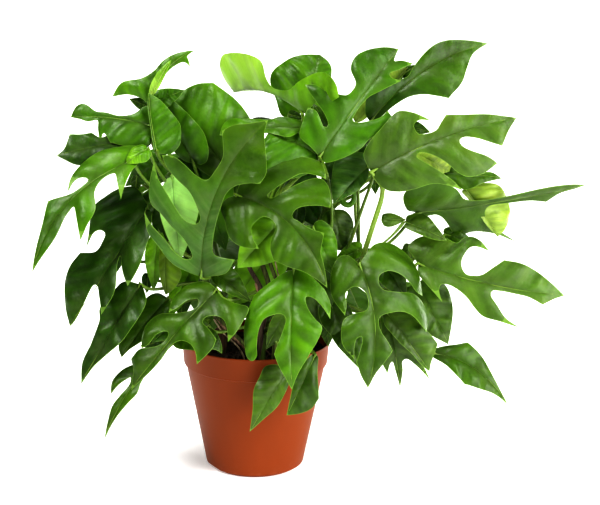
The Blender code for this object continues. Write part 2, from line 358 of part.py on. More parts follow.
BACK_SHOOT = {
    "stem": [(3, 56, STEM_FOOT), (3, 56, 142), (3, 62, 190), (5, 68, 240), (7, 74, 290)],
    "leaves": [
        leaf((50, 85, 406), (69, 115, 470), (0, 20), root=0.9,
             left=[(-0.14, 0.08), (-0.19, 0.30), (0.02, 0.47), (0.33, 0.68), (0.54, 0.67), (0.73, 0.55),
                   (0.87, 0.36)],
             right=[(-0.06, 0.12), (0.08, 0.28), (0.37, 0.34), (0.63, 0.29), (0.80, 0.25), (0.91, 0.16)]),
        leaf((23, 110, 390), (63, 230, 350), (160, 45), left=TWO_CUTS, right=TWO_CUTS, root=0.96),
        leaf((-27, 120, 280), (-57, 220, 190), (-170, 30), left=TWO_CUTS, right=LATE_CUT, root=0.7),
        leaf((53, 115, 270), (83, 205, 190), (165, 30), left=LATE_CUT, right=TWO_CUTS, root=0.6),
        leaf((3, 110, 200), (3, 175, 105), (180, 20), left=ONE_CUT, right=TWO_CUTS, root=0.4),
        leaf((26, 40, 344), (78, 38, 267), (5, 10), left=ENTIRE, right=ENTIRE, root=0.8),
    ],
}

SHOOTS = {
    "left_shoot": LEFT_SHOOT,
    "front_shoot": FRONT_SHOOT,
    "right_shoot": RIGHT_SHOOT,
    "centre_shoot": CENTRE_SHOOT,
    "back_left_shoot": BACK_LEFT_SHOOT,
    "back_right_shoot": BACK_RIGHT_SHOOT,
    "back_shoot": BACK_SHOOT,
}


def clear_scene():
    for obj in list(bpy.data.objects):
        bpy.data.objects.remove(obj)


def new_collection(name, hidden=False):
    collection = bpy.data.collections.new(name)
    bpy.context.scene.collection.children.link(collection)
    collection.hide_render = hidden
    return collection


def material(name, colour, roughness):
    made = bpy.data.materials.new(name)
    made.use_nodes = True
    shader = made.node_tree.nodes["Principled BSDF"]
    shader.inputs["Base Color"].default_value = (*colour, 1.0)
    shader.inputs["Roughness"].default_value = roughness
    shader.inputs["Metallic"].default_value = 0.0
    return made


def add_object(name, mesh, collection):
    obj = bpy.data.objects.new(name, mesh)
    collection.objects.link(obj)
    return obj


def as_cutter(obj):
    obj.hide_render = True
    obj.display_type = "WIRE"
    return obj


def evaluated_mesh(obj):
    bpy.context.view_layer.update()
    graph = bpy.context.evaluated_depsgraph_get()
    return bpy.data.meshes.new_from_object(obj.evaluated_get(graph))


def replace_by_evaluated(obj):
    """Applies the object's modifiers."""
    mesh = evaluated_mesh(obj)
    obj.modifiers.clear()
    obj.data = mesh
    return obj


def turned(name, profile, steps, collection):
    """A closed profile of (radius, height), turned about Z and made a plain mesh."""
    mesh = bpy.data.meshes.new(name)
    points = [(r * MM, 0.0, z * MM) for r, z in profile]
    mesh.from_pydata(points, [(i, i + 1) for i in range(len(points) - 1)], [])
    obj = add_object(name, mesh, collection)
    screw = obj.modifiers.new("turn", "SCREW")
    screw.steps = screw.render_steps = steps
    screw.use_merge_vertices = True
    screw.merge_threshold = 1e-6
    replace_by_evaluated(obj)
    shape = bmesh.new()
    shape.from_mesh(obj.data)
    bmesh.ops.recalc_face_normals(shape, faces=shape.faces)
    shape.to_mesh(obj.data)
    shape.free()
    return obj


def cut(obj, cutter):
    boolean = obj.modifiers.new("cut " + cutter.name, "BOOLEAN")
    boolean.object = cutter
    boolean.operation = "DIFFERENCE"


def inner_radius(z):
    """The pot's inside at a height."""
    collar_foot = POT_HEIGHT - COLLAR_HEIGHT
    if z >= collar_foot:
        share = (z - collar_foot) / COLLAR_HEIGHT
        return COLLAR_FOOT_RADIUS + (RIM_RADIUS - COLLAR_FOOT_RADIUS) * share - WALL
    share = (z - TAPER_FOOT_HEIGHT) / (collar_foot - TAPER_FOOT_HEIGHT)
    return TAPER_FOOT_RADIUS + (COLLAR_FOOT_RADIUS - COLLAR_STEP - TAPER_FOOT_RADIUS) * share - WALL


def build_pot(parts, cutters):
    collar_foot = POT_HEIGHT - COLLAR_HEIGHT
    floor_top = FLOOR_UNDERSIDE + FLOOR
    profile = [
        (0.0, 0.0), (HUB_RADIUS, 0.0), (HUB_RADIUS, FLOOR_UNDERSIDE),
        (FOOT_RADIUS - FOOT_WALL, FLOOR_UNDERSIDE), (FOOT_RADIUS - FOOT_WALL, 0.0), (FOOT_RADIUS - 0.6, 0.0), (FOOT_RADIUS, 0.8), (FOOT_RADIUS + 0.7, 5.5),
        (TAPER_FOOT_RADIUS - 2.6, 7.0), (TAPER_FOOT_RADIUS - 0.9, 10.5), (TAPER_FOOT_RADIUS, TAPER_FOOT_HEIGHT),
        (COLLAR_FOOT_RADIUS - COLLAR_STEP, collar_foot - 1.0), (COLLAR_FOOT_RADIUS - 0.3, collar_foot),
        (COLLAR_FOOT_RADIUS + 0.1, collar_foot + 0.6), (RIM_RADIUS - 0.4, POT_HEIGHT - LIP),
        (RIM_RADIUS, POT_HEIGHT - LIP + 0.5), (RIM_RADIUS, POT_HEIGHT - 0.6), (RIM_RADIUS - 0.6, POT_HEIGHT),
        (RIM_RADIUS - WALL, POT_HEIGHT), (inner_radius(collar_foot), collar_foot),
        (inner_radius(collar_foot - 2.0), collar_foot - 2.0), (inner_radius(TAPER_FOOT_HEIGHT), TAPER_FOOT_HEIGHT),
        (inner_radius(TAPER_FOOT_HEIGHT) - 2.0, floor_top), (0.0, floor_top),
    ]
    pot = turned("pot", profile, POT_STEPS, parts)
    pot.data.materials.append(material("terracotta_plastic", (0.30, 0.060, 0.018), 0.45))
    for i in range(NOTCHES):
        angle = math.radians(FIRST_NOTCH + 360.0 * i / NOTCHES)
        bpy.ops.mesh.primitive_cylinder_add(vertices=HOLE_SIDES, radius=NOTCH_WIDTH / 2 * MM,
                                            depth=NOTCH_DEPTH * MM)
        notch = as_cutter(bpy.context.object)
        notch.name = f"notch_{i}"
        squash = NOTCH_HEIGHT / (NOTCH_WIDTH / 2)
        place = Matrix.Translation(Vector((math.cos(angle), math.sin(angle), 0.0)) * FOOT_RADIUS * MM)
        notch.matrix_world = (place @ Matrix.Diagonal((1, 1, squash, 1)) @ Matrix.Rotation(angle, 4, "Z")
                              @ Matrix.Rotation(math.pi / 2, 4, "Y"))
        move_to(notch, cutters)
        cut(pot, notch)
    for i in range(DRAINS):
        angle = math.radians(FIRST_NOTCH + 360.0 * (i + 0.5) / DRAINS)
        bpy.ops.mesh.primitive_cylinder_add(vertices=HOLE_SIDES, radius=DRAIN_RADIUS * MM,
                                            depth=DRAIN_DEPTH * MM)
        drain = as_cutter(bpy.context.object)
        drain.name = f"drain_{i}"
        drain.location = (DRAIN_CIRCLE * math.cos(angle) * MM, DRAIN_CIRCLE * math.sin(angle) * MM,
                          (FLOOR_UNDERSIDE + FLOOR / 2) * MM)
        move_to(drain, cutters)
        cut(pot, drain)
    replace_by_evaluated(pot)


def move_to(obj, collection):
    for other in list(obj.users_collection):
        other.objects.unlink(obj)
    collection.objects.link(obj)


def soil_height(x, y):
    """The soil's uneven top, in millimetres above its mean level."""
    slow = math.sin(0.055 * x + 1.3) * math.cos(0.048 * y - 0.4)
    quick = math.sin(0.16 * x - 0.12 * y) * math.cos(0.19 * y + 0.09 * x + 2.0)
    return SOIL_RELIEF * (0.6 * slow + 0.4 * quick)


def build_soil(parts, cutters):
    top = POT_HEIGHT - SOIL_DEPTH
    collar_foot = POT_HEIGHT - COLLAR_HEIGHT
    floor_top = FLOOR_UNDERSIDE + FLOOR + GAP
    profile = [
        (0.0, floor_top), (inner_radius(TAPER_FOOT_HEIGHT) - 2.0 - SOIL_GAP, floor_top),
        (inner_radius(TAPER_FOOT_HEIGHT) - SOIL_GAP, TAPER_FOOT_HEIGHT),
        (inner_radius(collar_foot - 2.0) - SOIL_GAP, collar_foot - 2.0), (inner_radius(collar_foot) - SOIL_GAP, collar_foot),
        (inner_radius(top) - SOIL_GAP, top - 1.0), (inner_radius(top) - SOIL_GAP - 1.5, top),
        *[(r, top) for r in SOIL_RINGS], (0.0, top),
    ]
    soil = turned("soil", profile, SOIL_STEPS, parts)
    soil.data.materials.append(material("dark_soil", (0.022, 0.014, 0.010), 0.95))
    for vertex in soil.data.vertices:
        if vertex.co.z > (top - 0.5) * MM:
            vertex.co.z += soil_height(vertex.co.x / MM, vertex.co.y / MM) * MM
    for name, shoot in SHOOTS.items():
        x, y, z = shoot["stem"][0]
        bpy.ops.mesh.primitive_cylinder_add(vertices=HOLE_SIDES, depth=HOLE_DEPTH * MM,
                                            radius=(STEM_RADIUS + GAP) / math.cos(math.pi / HOLE_SIDES) * MM)
        hole = as_cutter(bpy.context.object)
        hole.name = f"hole_{name}"
        hole.location = (x * MM, y * MM, (z - GAP + HOLE_DEPTH / 2) * MM)
        move_to(hole, cutters)
        cut(soil, hole)
    replace_by_evaluated(soil)


def facing(azimuth, elevation):
    a, e = math.radians(azimuth), math.radians(elevation)
    return np.array([math.sin(a) * math.cos(e), -math.cos(a) * math.cos(e), math.sin(e)])


def blade_surface(row, u, v):
    """Points in millimetres, and normals, of a bent leaf at its own coordinates: u along the midrib, v out to the
    right of it, in leaf lengths."""
    u, v = np.asarray(u, float), np.asarray(v, float)
    base, tip = np.array(row["base"], float), np.array(row["tip"], float)
    chord = tip - base
    length = np.linalg.norm(chord)
    along = chord / length
    face = facing(*row["face"])
    face = face - face @ along * along
    face /= np.linalg.norm(face)
    across = np.cross(along, face)
    arch = (face * row["bow"] + across * row["sweep"]) * length
    ahead = np.clip(u, 0.0, None)
    middle = base + np.outer(u, chord) + np.outer(4 * ahead * (1 - ahead) + np.where(u < 0, 4 * u, 0.0), arch)
    tangent = chord + np.outer(4 - 8 * ahead, arch)
    tangent /= np.linalg.norm(tangent, axis=1)[:, None]
    normal = face - (tangent @ face)[:, None] * tangent
    normal /= np.linalg.norm(normal, axis=1)[:, None]
    side = np.cross(tangent, normal)
    turn = (math.radians(row["twist"]) * ahead)[:, None]
    side, normal = (side * np.cos(turn) + normal * np.sin(turn), normal * np.cos(turn) - side * np.sin(turn))
    fold = np.radians(np.where(v > 0, row["fold"][1], row["fold"][0]))
    bend = math.radians(row["curl"]) / CURL_HALF_WIDTH
    width = np.abs(v)
    out = (np.sin(fold) - np.sin(fold - bend * width)) / bend
    up = (np.cos(fold - bend * width) - np.cos(fold)) / bend
    phase = 0.01 * (base[0] + 2 * base[2])
    up = up + RIPPLE * np.sin(2 * math.pi * (1.7 * u + phase) + np.where(v > 0, 1.0, -1.0)) * (width / 0.3) ** 2
    points = middle + side * (np.sign(v) * out * length)[:, None] + normal * (up * length)[:, None]
    return points, normal


def smooth_run(points, step):
    """Points of a Catmull-Rom curve through these, about a step apart, without the last one."""
    ends = [2 * points[0] - points[1], *points, 2 * points[-1] - points[-2]]
    run = []
    for i in range(len(points) - 1):
        a, b, c, d = ends[i:i + 4]
        pieces = max(1, round(float(np.linalg.norm(c - b)) / step))
        for k in range(pieces):
            t = k / pieces
            run.append(0.5 * (2 * b + (c - a) * t + (2 * a - 5 * b + 4 * c - d) * t * t
                              + (3 * b - a - 3 * c + d) * t ** 3))
    return run


def side_outline(side, step):
    """One side of a leaf from its base to its tip, without the tip: curves that break at the sharp points."""
    named = [(0.0, 0.0, TIP), *side, (1.0, 0.0, TIP)]
    outline, run = [], []
    for row in named:
        run.append(np.array(row[:2], float))
        if len(run) > 1 and len(row) == 3:
            outline += smooth_run(run, step)
            run = run[-1:]
    return outline


def thinned(points, tolerance):
    """The fewest of these points whose straight lines stay within the tolerance of all of them."""
    if len(points) < 3:
        return points
    start, way = points[0], points[-1] - points[0]
    reach = max(float(np.hypot(*way)), 1e-9)
    away = [abs(way[0] * (p - start)[1] - way[1] * (p - start)[0]) / reach for p in points[1:-1]]
    far = int(np.argmax(away)) + 1
    if away[far - 1] <= tolerance:
        return [points[0], points[-1]]
    return thinned(points[:far + 1], tolerance)[:-1] + thinned(points[far:], tolerance)


def leaf_outline(row, step, tolerance=0.0):
    end = np.array([1.0, 0.0])
    right = thinned([*side_outline(row["right"], step), end], tolerance)
    left = thinned([*side_outline(row["left"], step), end], tolerance)
    return [*right, *(p * (1, -1) for p in reversed(left[1:-1]))]


def distance_to_outline(point, outline):
    best = 9.0
    for a, b in zip(outline, outline[1:] + outline[:1]):
        t = np.clip((point - a) @ (b - a) / max((b - a) @ (b - a), 1e-12), 0.0, 1.0)
        best = min(best, float(np.linalg.norm(a + (b - a) * t - point)))
    return best


def inside(point, outline):
    odd = False
    for a, b in zip(outline, outline[1:] + outline[:1]):
        if (a[1] > point[1]) != (b[1] > point[1]):
            crossing = a[0] + (b[0] - a[0]) * (point[1] - a[1]) / (b[1] - a[1])
            odd = odd != (point[0] < crossing)
    return odd


def blade_mesh(name, row, step, tolerance, rib_steps, cross_rows):
    """A leaf's flat outline, cut into triangles with a crease along the midrib, then bent."""
    outline = leaf_outline(row, step, tolerance)
    count = len(outline)
    rib = [np.array([(i + 1) / (rib_steps + 1), 0.0]) for i in range(rib_steps)]
    rib = [p for p in rib if inside(p, outline) and distance_to_outline(p, outline) > CLEAR_OF_EDGE / 2]
    filling = []
    for v in cross_rows:
        for i in range(-1, rib_steps + 2):
            for sign in (-1, 1):
                p = np.array([(i + 0.5) / (rib_steps + 1), sign * v])
                if inside(p, outline) and distance_to_outline(p, outline) > CLEAR_OF_EDGE:
                    filling.append(p)
    flat = [Vector(p) for p in (*outline, *rib, *filling)]
    creases = [(count + i, count + i + 1) for i in range(len(rib) - 1)]
    points, _, faces, *_ = delaunay_2d_cdt(flat, creases, [list(range(count))], 1, 1e-6)
    uv = np.array([tuple(p) for p in points])
    bent, _ = blade_surface(row, uv[:, 0], uv[:, 1])
    mesh = bpy.data.meshes.new(name)
    mesh.from_pydata((bent * MM).tolist(), [], [face[::-1] for face in faces])
    return mesh


def bezier(a, b, c, d, count):
    return [a * (1 - t) ** 3 + 3 * b * t * (1 - t) ** 2 + 3 * c * t * t * (1 - t) + d * t ** 3
            for t in (i / count for i in range(count + 1))]


def along_stem(stem, share):
    """The point of the stem's part above the soil, at this share of its height."""
    points = [np.array(p, float) for p in stem[1:]]
    place = share * (len(points) - 1)
    i = min(int(place), len(points) - 2)
    return points[i] + (points[i + 1] - points[i]) * (place - i)


def petiole_path(shoot, row, steps=3):
    """From inside the stem, up to the leaf's base, then on along the underside of its midrib."""
    start = along_stem(shoot["stem"], row["root"])
    (base, low, high), normal = blade_surface(row, [0.0, 0.12, 0.30], [0.0, 0.0, 0.0])
    under = base - normal[0] * (PETIOLE_END_RADIUS + 0.1)
    rise = np.array([0.0, 0.0, 1.0])
    if row["via"]:
        path = [*smooth_run([start, *(np.array(place, float) for place in row["via"]), under], VIA_STEP), under]
        steps = len(path) - 1
    else:
        reach = np.linalg.norm(base - start)
        out = start + (base - start) * 0.25 + rise * reach * 0.3
        back = base - normal[0] * 0.15 * reach - rise * row["lift"] * 0.5 - (base - start) * 0.15
        path = bezier(start, out, back, under, steps)
    path += [low - normal[1] * 0.8, high - normal[2] * 0.35]
    radii = [PETIOLE_RADIUS + (PETIOLE_END_RADIUS - PETIOLE_RADIUS) * i / steps for i in range(steps + 1)]
    return path, [*radii, 1.2, 0.6]


def tube(name, path, radii, collection, resolution=0):
    """A tapered round tube along these points, as a closed mesh."""
    curve = bpy.data.curves.new(name, "CURVE")
    curve.dimensions = "3D"
    curve.bevel_depth = MM
    curve.bevel_resolution = resolution
    curve.use_fill_caps = True
    spline = curve.splines.new("POLY")
    spline.points.add(len(path) - 1)
    for point, place, radius in zip(spline.points, path, radii):
        point.co = (*(np.asarray(place) * MM), 1.0)
        point.radius = radius
    guide = add_object(name + "_guide", curve, collection)
    mesh = evaluated_mesh(guide)
    bpy.data.objects.remove(guide)
    shape = bmesh.new()
    shape.from_mesh(mesh)
    bmesh.ops.remove_doubles(shape, verts=shape.verts, dist=1e-7)
    bmesh.ops.recalc_face_normals(shape, faces=shape.faces)
    shape.to_mesh(mesh)
    shape.free()
    return add_object(name, mesh, collection)


def stem_tube(name, shoot, collection):
    stem = shoot["stem"]
    thin = [STEM_RADIUS + (STEM_TOP_RADIUS - STEM_RADIUS) * i / (len(stem) - 2) for i in range(len(stem) - 1)]
    return tube(name, stem, [STEM_RADIUS, *thin], collection, resolution=1)


def solid_blade(name, row, collection, step=0.04, tolerance=0.012, rib_steps=3, cross_rows=(0.20,)):
    obj = add_object(name, blade_mesh(name, row, step, tolerance, rib_steps, cross_rows), collection)
    thick = obj.modifiers.new("thickness", "SOLIDIFY")
    thick.thickness = BLADE * MM
    thick.offset = 0.0
    thick.use_even_offset = False
    replace_by_evaluated(obj)
    shape = bmesh.new()
    shape.from_mesh(obj.data)
    bmesh.ops.triangulate(shape, faces=shape.faces)
    bmesh.ops.recalc_face_normals(shape, faces=shape.faces)
    shape.to_mesh(obj.data)
    shape.free()
    return obj


def build_shoot(name, shoot, parts, leaf_green):
    """A stem with its petioles and blades, joined in one solid."""
    pieces = new_collection(name + "_pieces")
    for i, row in enumerate(shoot["leaves"]):
        solid_blade(f"{name}_blade_{i}", row, pieces)
        path, radii = petiole_path(shoot, row)
        tube(f"{name}_petiole_{i}", path, radii, pieces)
    stem = stem_tube(name, shoot, parts)
    stem.data.materials.clear()
    stem.data.materials.append(leaf_green)
    union = stem.modifiers.new("join", "BOOLEAN")
    union.operand_type = "COLLECTION"
    union.collection = pieces
    union.operation = "UNION"
    replace_by_evaluated(stem)
    for obj in list(pieces.objects):
        bpy.data.objects.remove(obj)
    bpy.data.collections.remove(pieces)


def main():
    clear_scene()
    parts = new_collection("potted_monstera")
    cutters = new_collection("cutters", hidden=True)
    build_pot(parts, cutters)
    build_soil(parts, cutters)
    leaf_green = material("leaf_green", (0.045, 0.20, 0.012), 0.35)
    for name, shoot in SHOOTS.items():
        build_shoot(name, shoot, parts, leaf_green)


if __name__ == "__main__":
    main()
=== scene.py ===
"""The looks of a potted mini monstera with cut leaves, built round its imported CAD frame.

Blender 4.5, metres, +Z up. The tables of the plant are in millimetres: the pot's axis is the Z axis, the pot
stands on z = 0, and the plant is seen from -Y.
"""

import math

import bpy
import numpy as np
from bpy.props import FloatProperty, FloatVectorProperty, IntProperty, PointerProperty
from mathutils import Matrix, Vector
from mathutils.geometry import delaunay_2d_cdt


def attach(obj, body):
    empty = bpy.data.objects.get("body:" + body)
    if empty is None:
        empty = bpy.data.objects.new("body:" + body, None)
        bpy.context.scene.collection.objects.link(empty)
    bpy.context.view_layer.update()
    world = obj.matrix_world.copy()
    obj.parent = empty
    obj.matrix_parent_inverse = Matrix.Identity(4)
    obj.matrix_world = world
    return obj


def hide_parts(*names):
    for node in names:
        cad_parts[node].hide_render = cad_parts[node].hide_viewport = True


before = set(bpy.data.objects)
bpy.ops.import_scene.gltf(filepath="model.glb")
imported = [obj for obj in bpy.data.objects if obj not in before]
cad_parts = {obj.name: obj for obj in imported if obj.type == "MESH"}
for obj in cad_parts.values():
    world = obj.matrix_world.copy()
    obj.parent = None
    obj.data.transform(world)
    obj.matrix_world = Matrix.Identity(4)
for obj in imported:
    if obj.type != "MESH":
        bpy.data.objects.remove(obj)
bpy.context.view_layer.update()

bl_info = {
    "name": "Potted mini monstera",
    "version": (1, 0, 0),
    "blender": (4, 5, 0),
    "location": "View3D > Sidebar > Monstera",
    "description": "Builds a bushy potted monstera with cut leaves in a terracotta-coloured nursery pot",
    "category": "Add Mesh",
}

MM = 0.001

# What the settings of one kind have in common
COLOUR = {"subtype": "COLOR", "min": 0.0, "max": 1.0}
SHARE = {"subtype": "FACTOR", "min": 0.0, "max": 1.0}
LENGTH = {"unit": "LENGTH", "precision": 5, "min": 0.0}
POWER = {"unit": "POWER", "min": 0.0}

# Faces that meet at less than these angles are shaded smooth, in degrees
SMOOTH_ANGLE = 40.0
POT_SMOOTH = 32.0
SOIL_SMOOTH = 60.0

# The photo's camera, in millimetres and degrees: its focal length is in pixels of the picture's width
CAMERA_PLACE = (49.0, -1210.0, 496.0)
CAMERA_PITCH = 11.5
CAMERA_ROLL = 1.0
CAMERA_FOCAL = 1088.0
PICTURE_WIDTH = 600.0
SENSOR = 36.0

# The studio, in metres and degrees: each sun comes from a direction, and has a spread; each square lamp has a
# place, a target and a side
FLOOR_RADIUS = 30.0
FLOOR_SIDES = 64
SUNS = {
    "key_light": ((-0.55, -0.45, 1.0), 24.0),
    "second_light": ((0.80, -0.50, 0.75), 28.0),
    "back_light": ((0.15, 0.75, 1.0), 30.0),
}
LAMPS = {
    "side_lamp": ((1.00, -0.95, 0.45), (0.0, 0.0, 0.12), 0.60),
    "rim_lamp": ((0.85, 0.42, 0.14), (0.08, -0.03, 0.13), 0.40),
}

# The nursery pot
POT_HEIGHT = 148.0
RIM_RADIUS = 85.0
COLLAR_FOOT_RADIUS = 82.6
COLLAR_HEIGHT = 26.0
COLLAR_FOOT = POT_HEIGHT - COLLAR_HEIGHT
COLLAR_STEP = 2.6
WALL = 1.6
LIP = 2.6
TAPER_FOOT_RADIUS = 59.3
TAPER_FOOT = 16.0
FLOOR_UNDERSIDE = 7.0
FLOOR = 2.0
FLOOR_TOP = FLOOR_UNDERSIDE + FLOOR
FOOT_RADIUS = 53.0
FOOT_WALL = 2.4
HUB_RADIUS = 14.0
CAP_RADIUS = 2.0
POT_SIDES = 160
NOTCHES = 2
NOTCH_WIDTH = 36.0
NOTCH_HEIGHT = 4.6
NOTCH_DEPTH = 12.0
NOTCH_SIDES = 48
FIRST_NOTCH = 214.0
DRAINS = 8
DRAIN_RADIUS = 4.0
DRAIN_CIRCLE = 36.0
DRAIN_DEPTH = 8.0
DRAIN_SIDES = 32

# The soil and its loose crumbs: a crumb's size against the largest one, its dents, squash and turn, and how
# far it stands out of the soil
SOIL_DEPTH = 14.0
SOIL_TOP = POT_HEIGHT - SOIL_DEPTH
SOIL_RELIEF = 1.6
SOIL_GAP = 0.5
SOIL_SIDES = 144
SOIL_RINGS = 46
SEED = 11
CRUMB_SIDES = 7
CRUMB_RINGS = 5
CRUMB_LEAST = 0.30
CRUMB_POWER = 2.5
CRUMB_DENT = 0.28
CRUMB_SQUASH = (0.55, 1.0)
CRUMB_TURN = 6.3
CRUMB_STANDS = 0.35

# Blades: how they bend and how finely they are cut, in leaf lengths apart from their thickness
BLADE = 0.7
CURL_HALF_WIDTH = 0.45
RIPPLE = 0.010
RIPPLE_WAVES = 1.7
RIPPLE_WIDTH = 0.3
RIPPLE_PHASE = 0.01
OUTLINE_STEP = 0.018
GRID_STEP = 0.034
GRID_ROW = 0.87 * GRID_STEP
CLEAR_OF_EDGE = 0.0096
CLEAR_OF_RIB = 0.0376
MIDRIB_ROWS = (0.0, 0.010, 0.024)
MIDRIB_STEP = 0.022
MIDRIB_V = 0.5
TONE_CHANGE = (0.30, 0.60)

# The relief of a blade. Reaches and the midrib are in millimetres, the other places in leaf lengths. The
# swelling's crests wander, and start at another phase in every leaf.
MIDRIB_HALF_WIDTH = 1.3
MIDRIB_FADE = 0.3
VALLEY_REACH = 9.0
MARGIN_REACH = 6.0
EDGE_REACH = 14.0
FULL_LENGTH = 120.0
VEIN_LEAN = 0.62
VEIN_SPACING = 0.115
VEIN_START = 0.08
SWELL_TURNS = 0.19
SWELL_START = 0.12
WANDER_REACH = 0.8
WANDER_RATE = 0.4
SWELL_PHASE = (0.05, 0.09)

# Petioles and stems: a petiole is a winged sheath low down, has a swollen joint under its blade, and runs on
# as the midrib's underside. Shares are of its length.
STEM_FOOT = 100.0
STEM_RADIUS = 5.2
STEM_TOP_RADIUS = 2.9
STEM_STEP = 4.0
NODE_SPACING = 38.0
NODE_SWELL = 0.16
NODE_REACH = 3.0
BETWEEN_NODES = 0.92
PETIOLE_RADIUS = 2.1
PETIOLE_END_RADIUS = 1.6
PETIOLE_STEPS = 16
PETIOLE_GAP = 0.1
PETIOLE_OUT = 0.25
PETIOLE_RISE = 0.30
PETIOLE_BACK = 0.15
PETIOLE_LIFT = 0.5
PETIOLE_OWN_COLOUR = 0.65
VIA_STEP = 8.0
STRAIGHT_ON = 0.3
RELAX_ROUNDS = 4
SHEATH_SHARE = 0.35
SHEATH_SWELL = 0.45
SWELL_POWER = 0.7
JOINT_SWELL = 0.22
JOINT_PLACE = 0.94
JOINT_REACH = 0.05
RIB_START = 0.05
RIB_REACH = 0.92
RIB_STEPS = 12
RIB_RADIUS = 0.9
RIB_TAPER = 0.7
RIB_SUNK = 0.55

# Between the stems: the tone, radius and places of old stalks, then the places and widths of dry sheaths
OLD_STALKS = (
    ("stalk_brown", 2.9, [(-2, -52, 128), (-9, -55, 148), (-18, -56, 160), (-32, -56, 177), (-46, -55, 193),
                          (-58, -52, 209)]),
    ("stalk_olive", 2.3, [(4, -54, 128), (-3, -58, 149), (-12, -60, 160), (-27, -60, 175), (-42, -59, 190),
                          (-54, -57, 203)]),
    ("stalk_pale", 1.0, [(-8, -58, 128), (-12, -60, 146), (-20, -62, 159), (-33, -62, 171), (-44, -60, 186)]),
    ("stalk_brown", 2.8, [(2, -56, 128), (8, -59, 170), (9, -62, 215), (-4, -62, 242), (-14, -58, 262)]),
    ("stalk_olive", 3.0, [(22, -57, 128), (24, -60, 180), (18, -62, 218), (8, -62, 250), (0, -58, 268)]),
    ("stalk_olive", 2.4, [(34, -50, 128), (33, -58, 185), (27, -63, 222), (17, -63, 250), (12, -58, 270)]),
    ("stalk_pale", 0.9, [(30, -56, 128), (30, -60, 185), (33, -64, 214), (26, -65, 238), (20, -60, 262)]),
)
OLD_STALK_TAPER = (1.15, 0.85)
SHEATHS = (
    ([(-6, -59, 150), (-17, -61, 162), (-30, -61, 176), (-41, -60, 188)], 9.0),
    ([(10, -60, 176), (10, -63, 205), (2, -64, 228)], 8.0),
    ([(3, -51, 134), (5, -53, 150), (8, -55, 172)], 13.0),
    ([(-38, -16, 134), (-40, -18, 152), (-42, -18, 176)], 14.0),
    ([(48, -23, 134), (50, -26, 150), (54, -28, 172)], 13.0),
)
SHEATH_THICKNESS = 0.5
SHEATH_WRAP = 1.35
SHEATH_STRIPS = 7
SHEATH_START = 0.12
SHEATH_SPAN = 0.8
SHEATH_HOLLOW = (0.8, 0.9)
ROOT_REACH = 68.0
ROOT_LENGTH = (14.0, 34.0)
ROOT_RISE = (4.0, 9.0)
ROOT_RADIUS = (0.35, 0.75)
ROOT_BEND = 0.3
ROOT_SUNK = 2.0
ROOT_STEPS = 10
ROOT_SPREAD = (0.05, 1.0)
ROOT_SHOULDERS = (0.3, 0.7)
BUD_PATH = ((90, -10, 336), (98, -15, 331), (106, -16, 324), (108, -16, 315), (103, -16, 308), (96, -16, 310),
            (94, -16, 316), (98, -16, 319))
BUD_RADII = ((0.0, 0.25, 0.55, 0.8, 1.0), (1.1, 1.5, 3.0, 3.2, 1.2))
BUD_STEP = 2.0

# The skin of a leaf. Its patches of tone and its vein waves are partly the leaf's own uneven tone and partly
# painted shade and light on its folds; its sunny streaks are painted light, and its haze beside the midrib
# is a painted grey sheen. STREAKS and HAIRS are stretched along and across the side veins, and then have
# their detail. MOTTLE and HAZE are a noise's scale and detail, and its roughness where it isn't the usual
# one. Other pairs are the range of a value over which an effect comes in, and of four numbers the last two
# are its strength at the two ends. HAIR_GAIN is for the bloom and sheen colour in pale hairs and the deep
# green, partly painted shade, in dark ones.
OFF_RIB = (0.01, 0.07)
STREAKS = ((7.0, 2.5), 1.0)
HAIRS = ((42.0, 3.0), 2.0)
DRIFT = 9.0
MOTTLE = (110.0, 4.0, 0.65)
HAZE = (55.0, 2.0)
# Streaks and clouds: partly the leaf's own uneven tone, partly painted shade and light on its folds
STREAK_TONE_AND_SHADE = (0.38, 0.62, -0.12, 0.12)
CLOUD_TONE_AND_SHADE = (0.36, 0.64, -0.14, 0.14)
MOTTLE_TONE = (0.34, 0.66, -0.10, 0.10)
# Painted shade and light of the waves between the side veins
VEIN_PAINTED_SHADE = 0.07
MEAN_TONE = 0.98
CALM_WHEN_GREEN = (0.30, 0.50, 1.0, 0.30)
HAIRY_WHEN_BLUE = (0.008, 0.028)
# Painted light: brighter, yellower streaks off the midrib
PAINTED_LIGHT_STREAKS = (0.48, 0.72, 0.0, 0.30)
PAINTED_LIGHT_TINT = (1.75, 1.40, 0.8, 1.0)
PALE_HAIRS = (0.50, 0.70, 0.0, 0.30)
DARK_HAIRS = (0.50, 0.34, 0.0, 0.30)
HAIR_GAIN = (2.4, 1.2)
# Painted grey sheen beside the midrib, in patches
PAINTED_SHEEN_BY_RIB = (0.0, 0.15, 0.42, 0.06)
PAINTED_SHEEN_PATCHES = (0.36, 0.60)
RIB_LINE = (0.002, 0.009, 0.38, 0.0)
MARGIN_LINE = (0.25, 0.75, 0.50, 0.0)
UNDERSIDE_BLOOM = 0.42
DAPPLE_ROUGH = 0.16
DENT_SHARE = 0.3
FACE_GLOSS = 0.34
UNDERSIDE_GLOSS = 0.18
LEAF_DEPTH = 0.004
LEAF_SCATTER = (0.6, 1.0, 0.2)

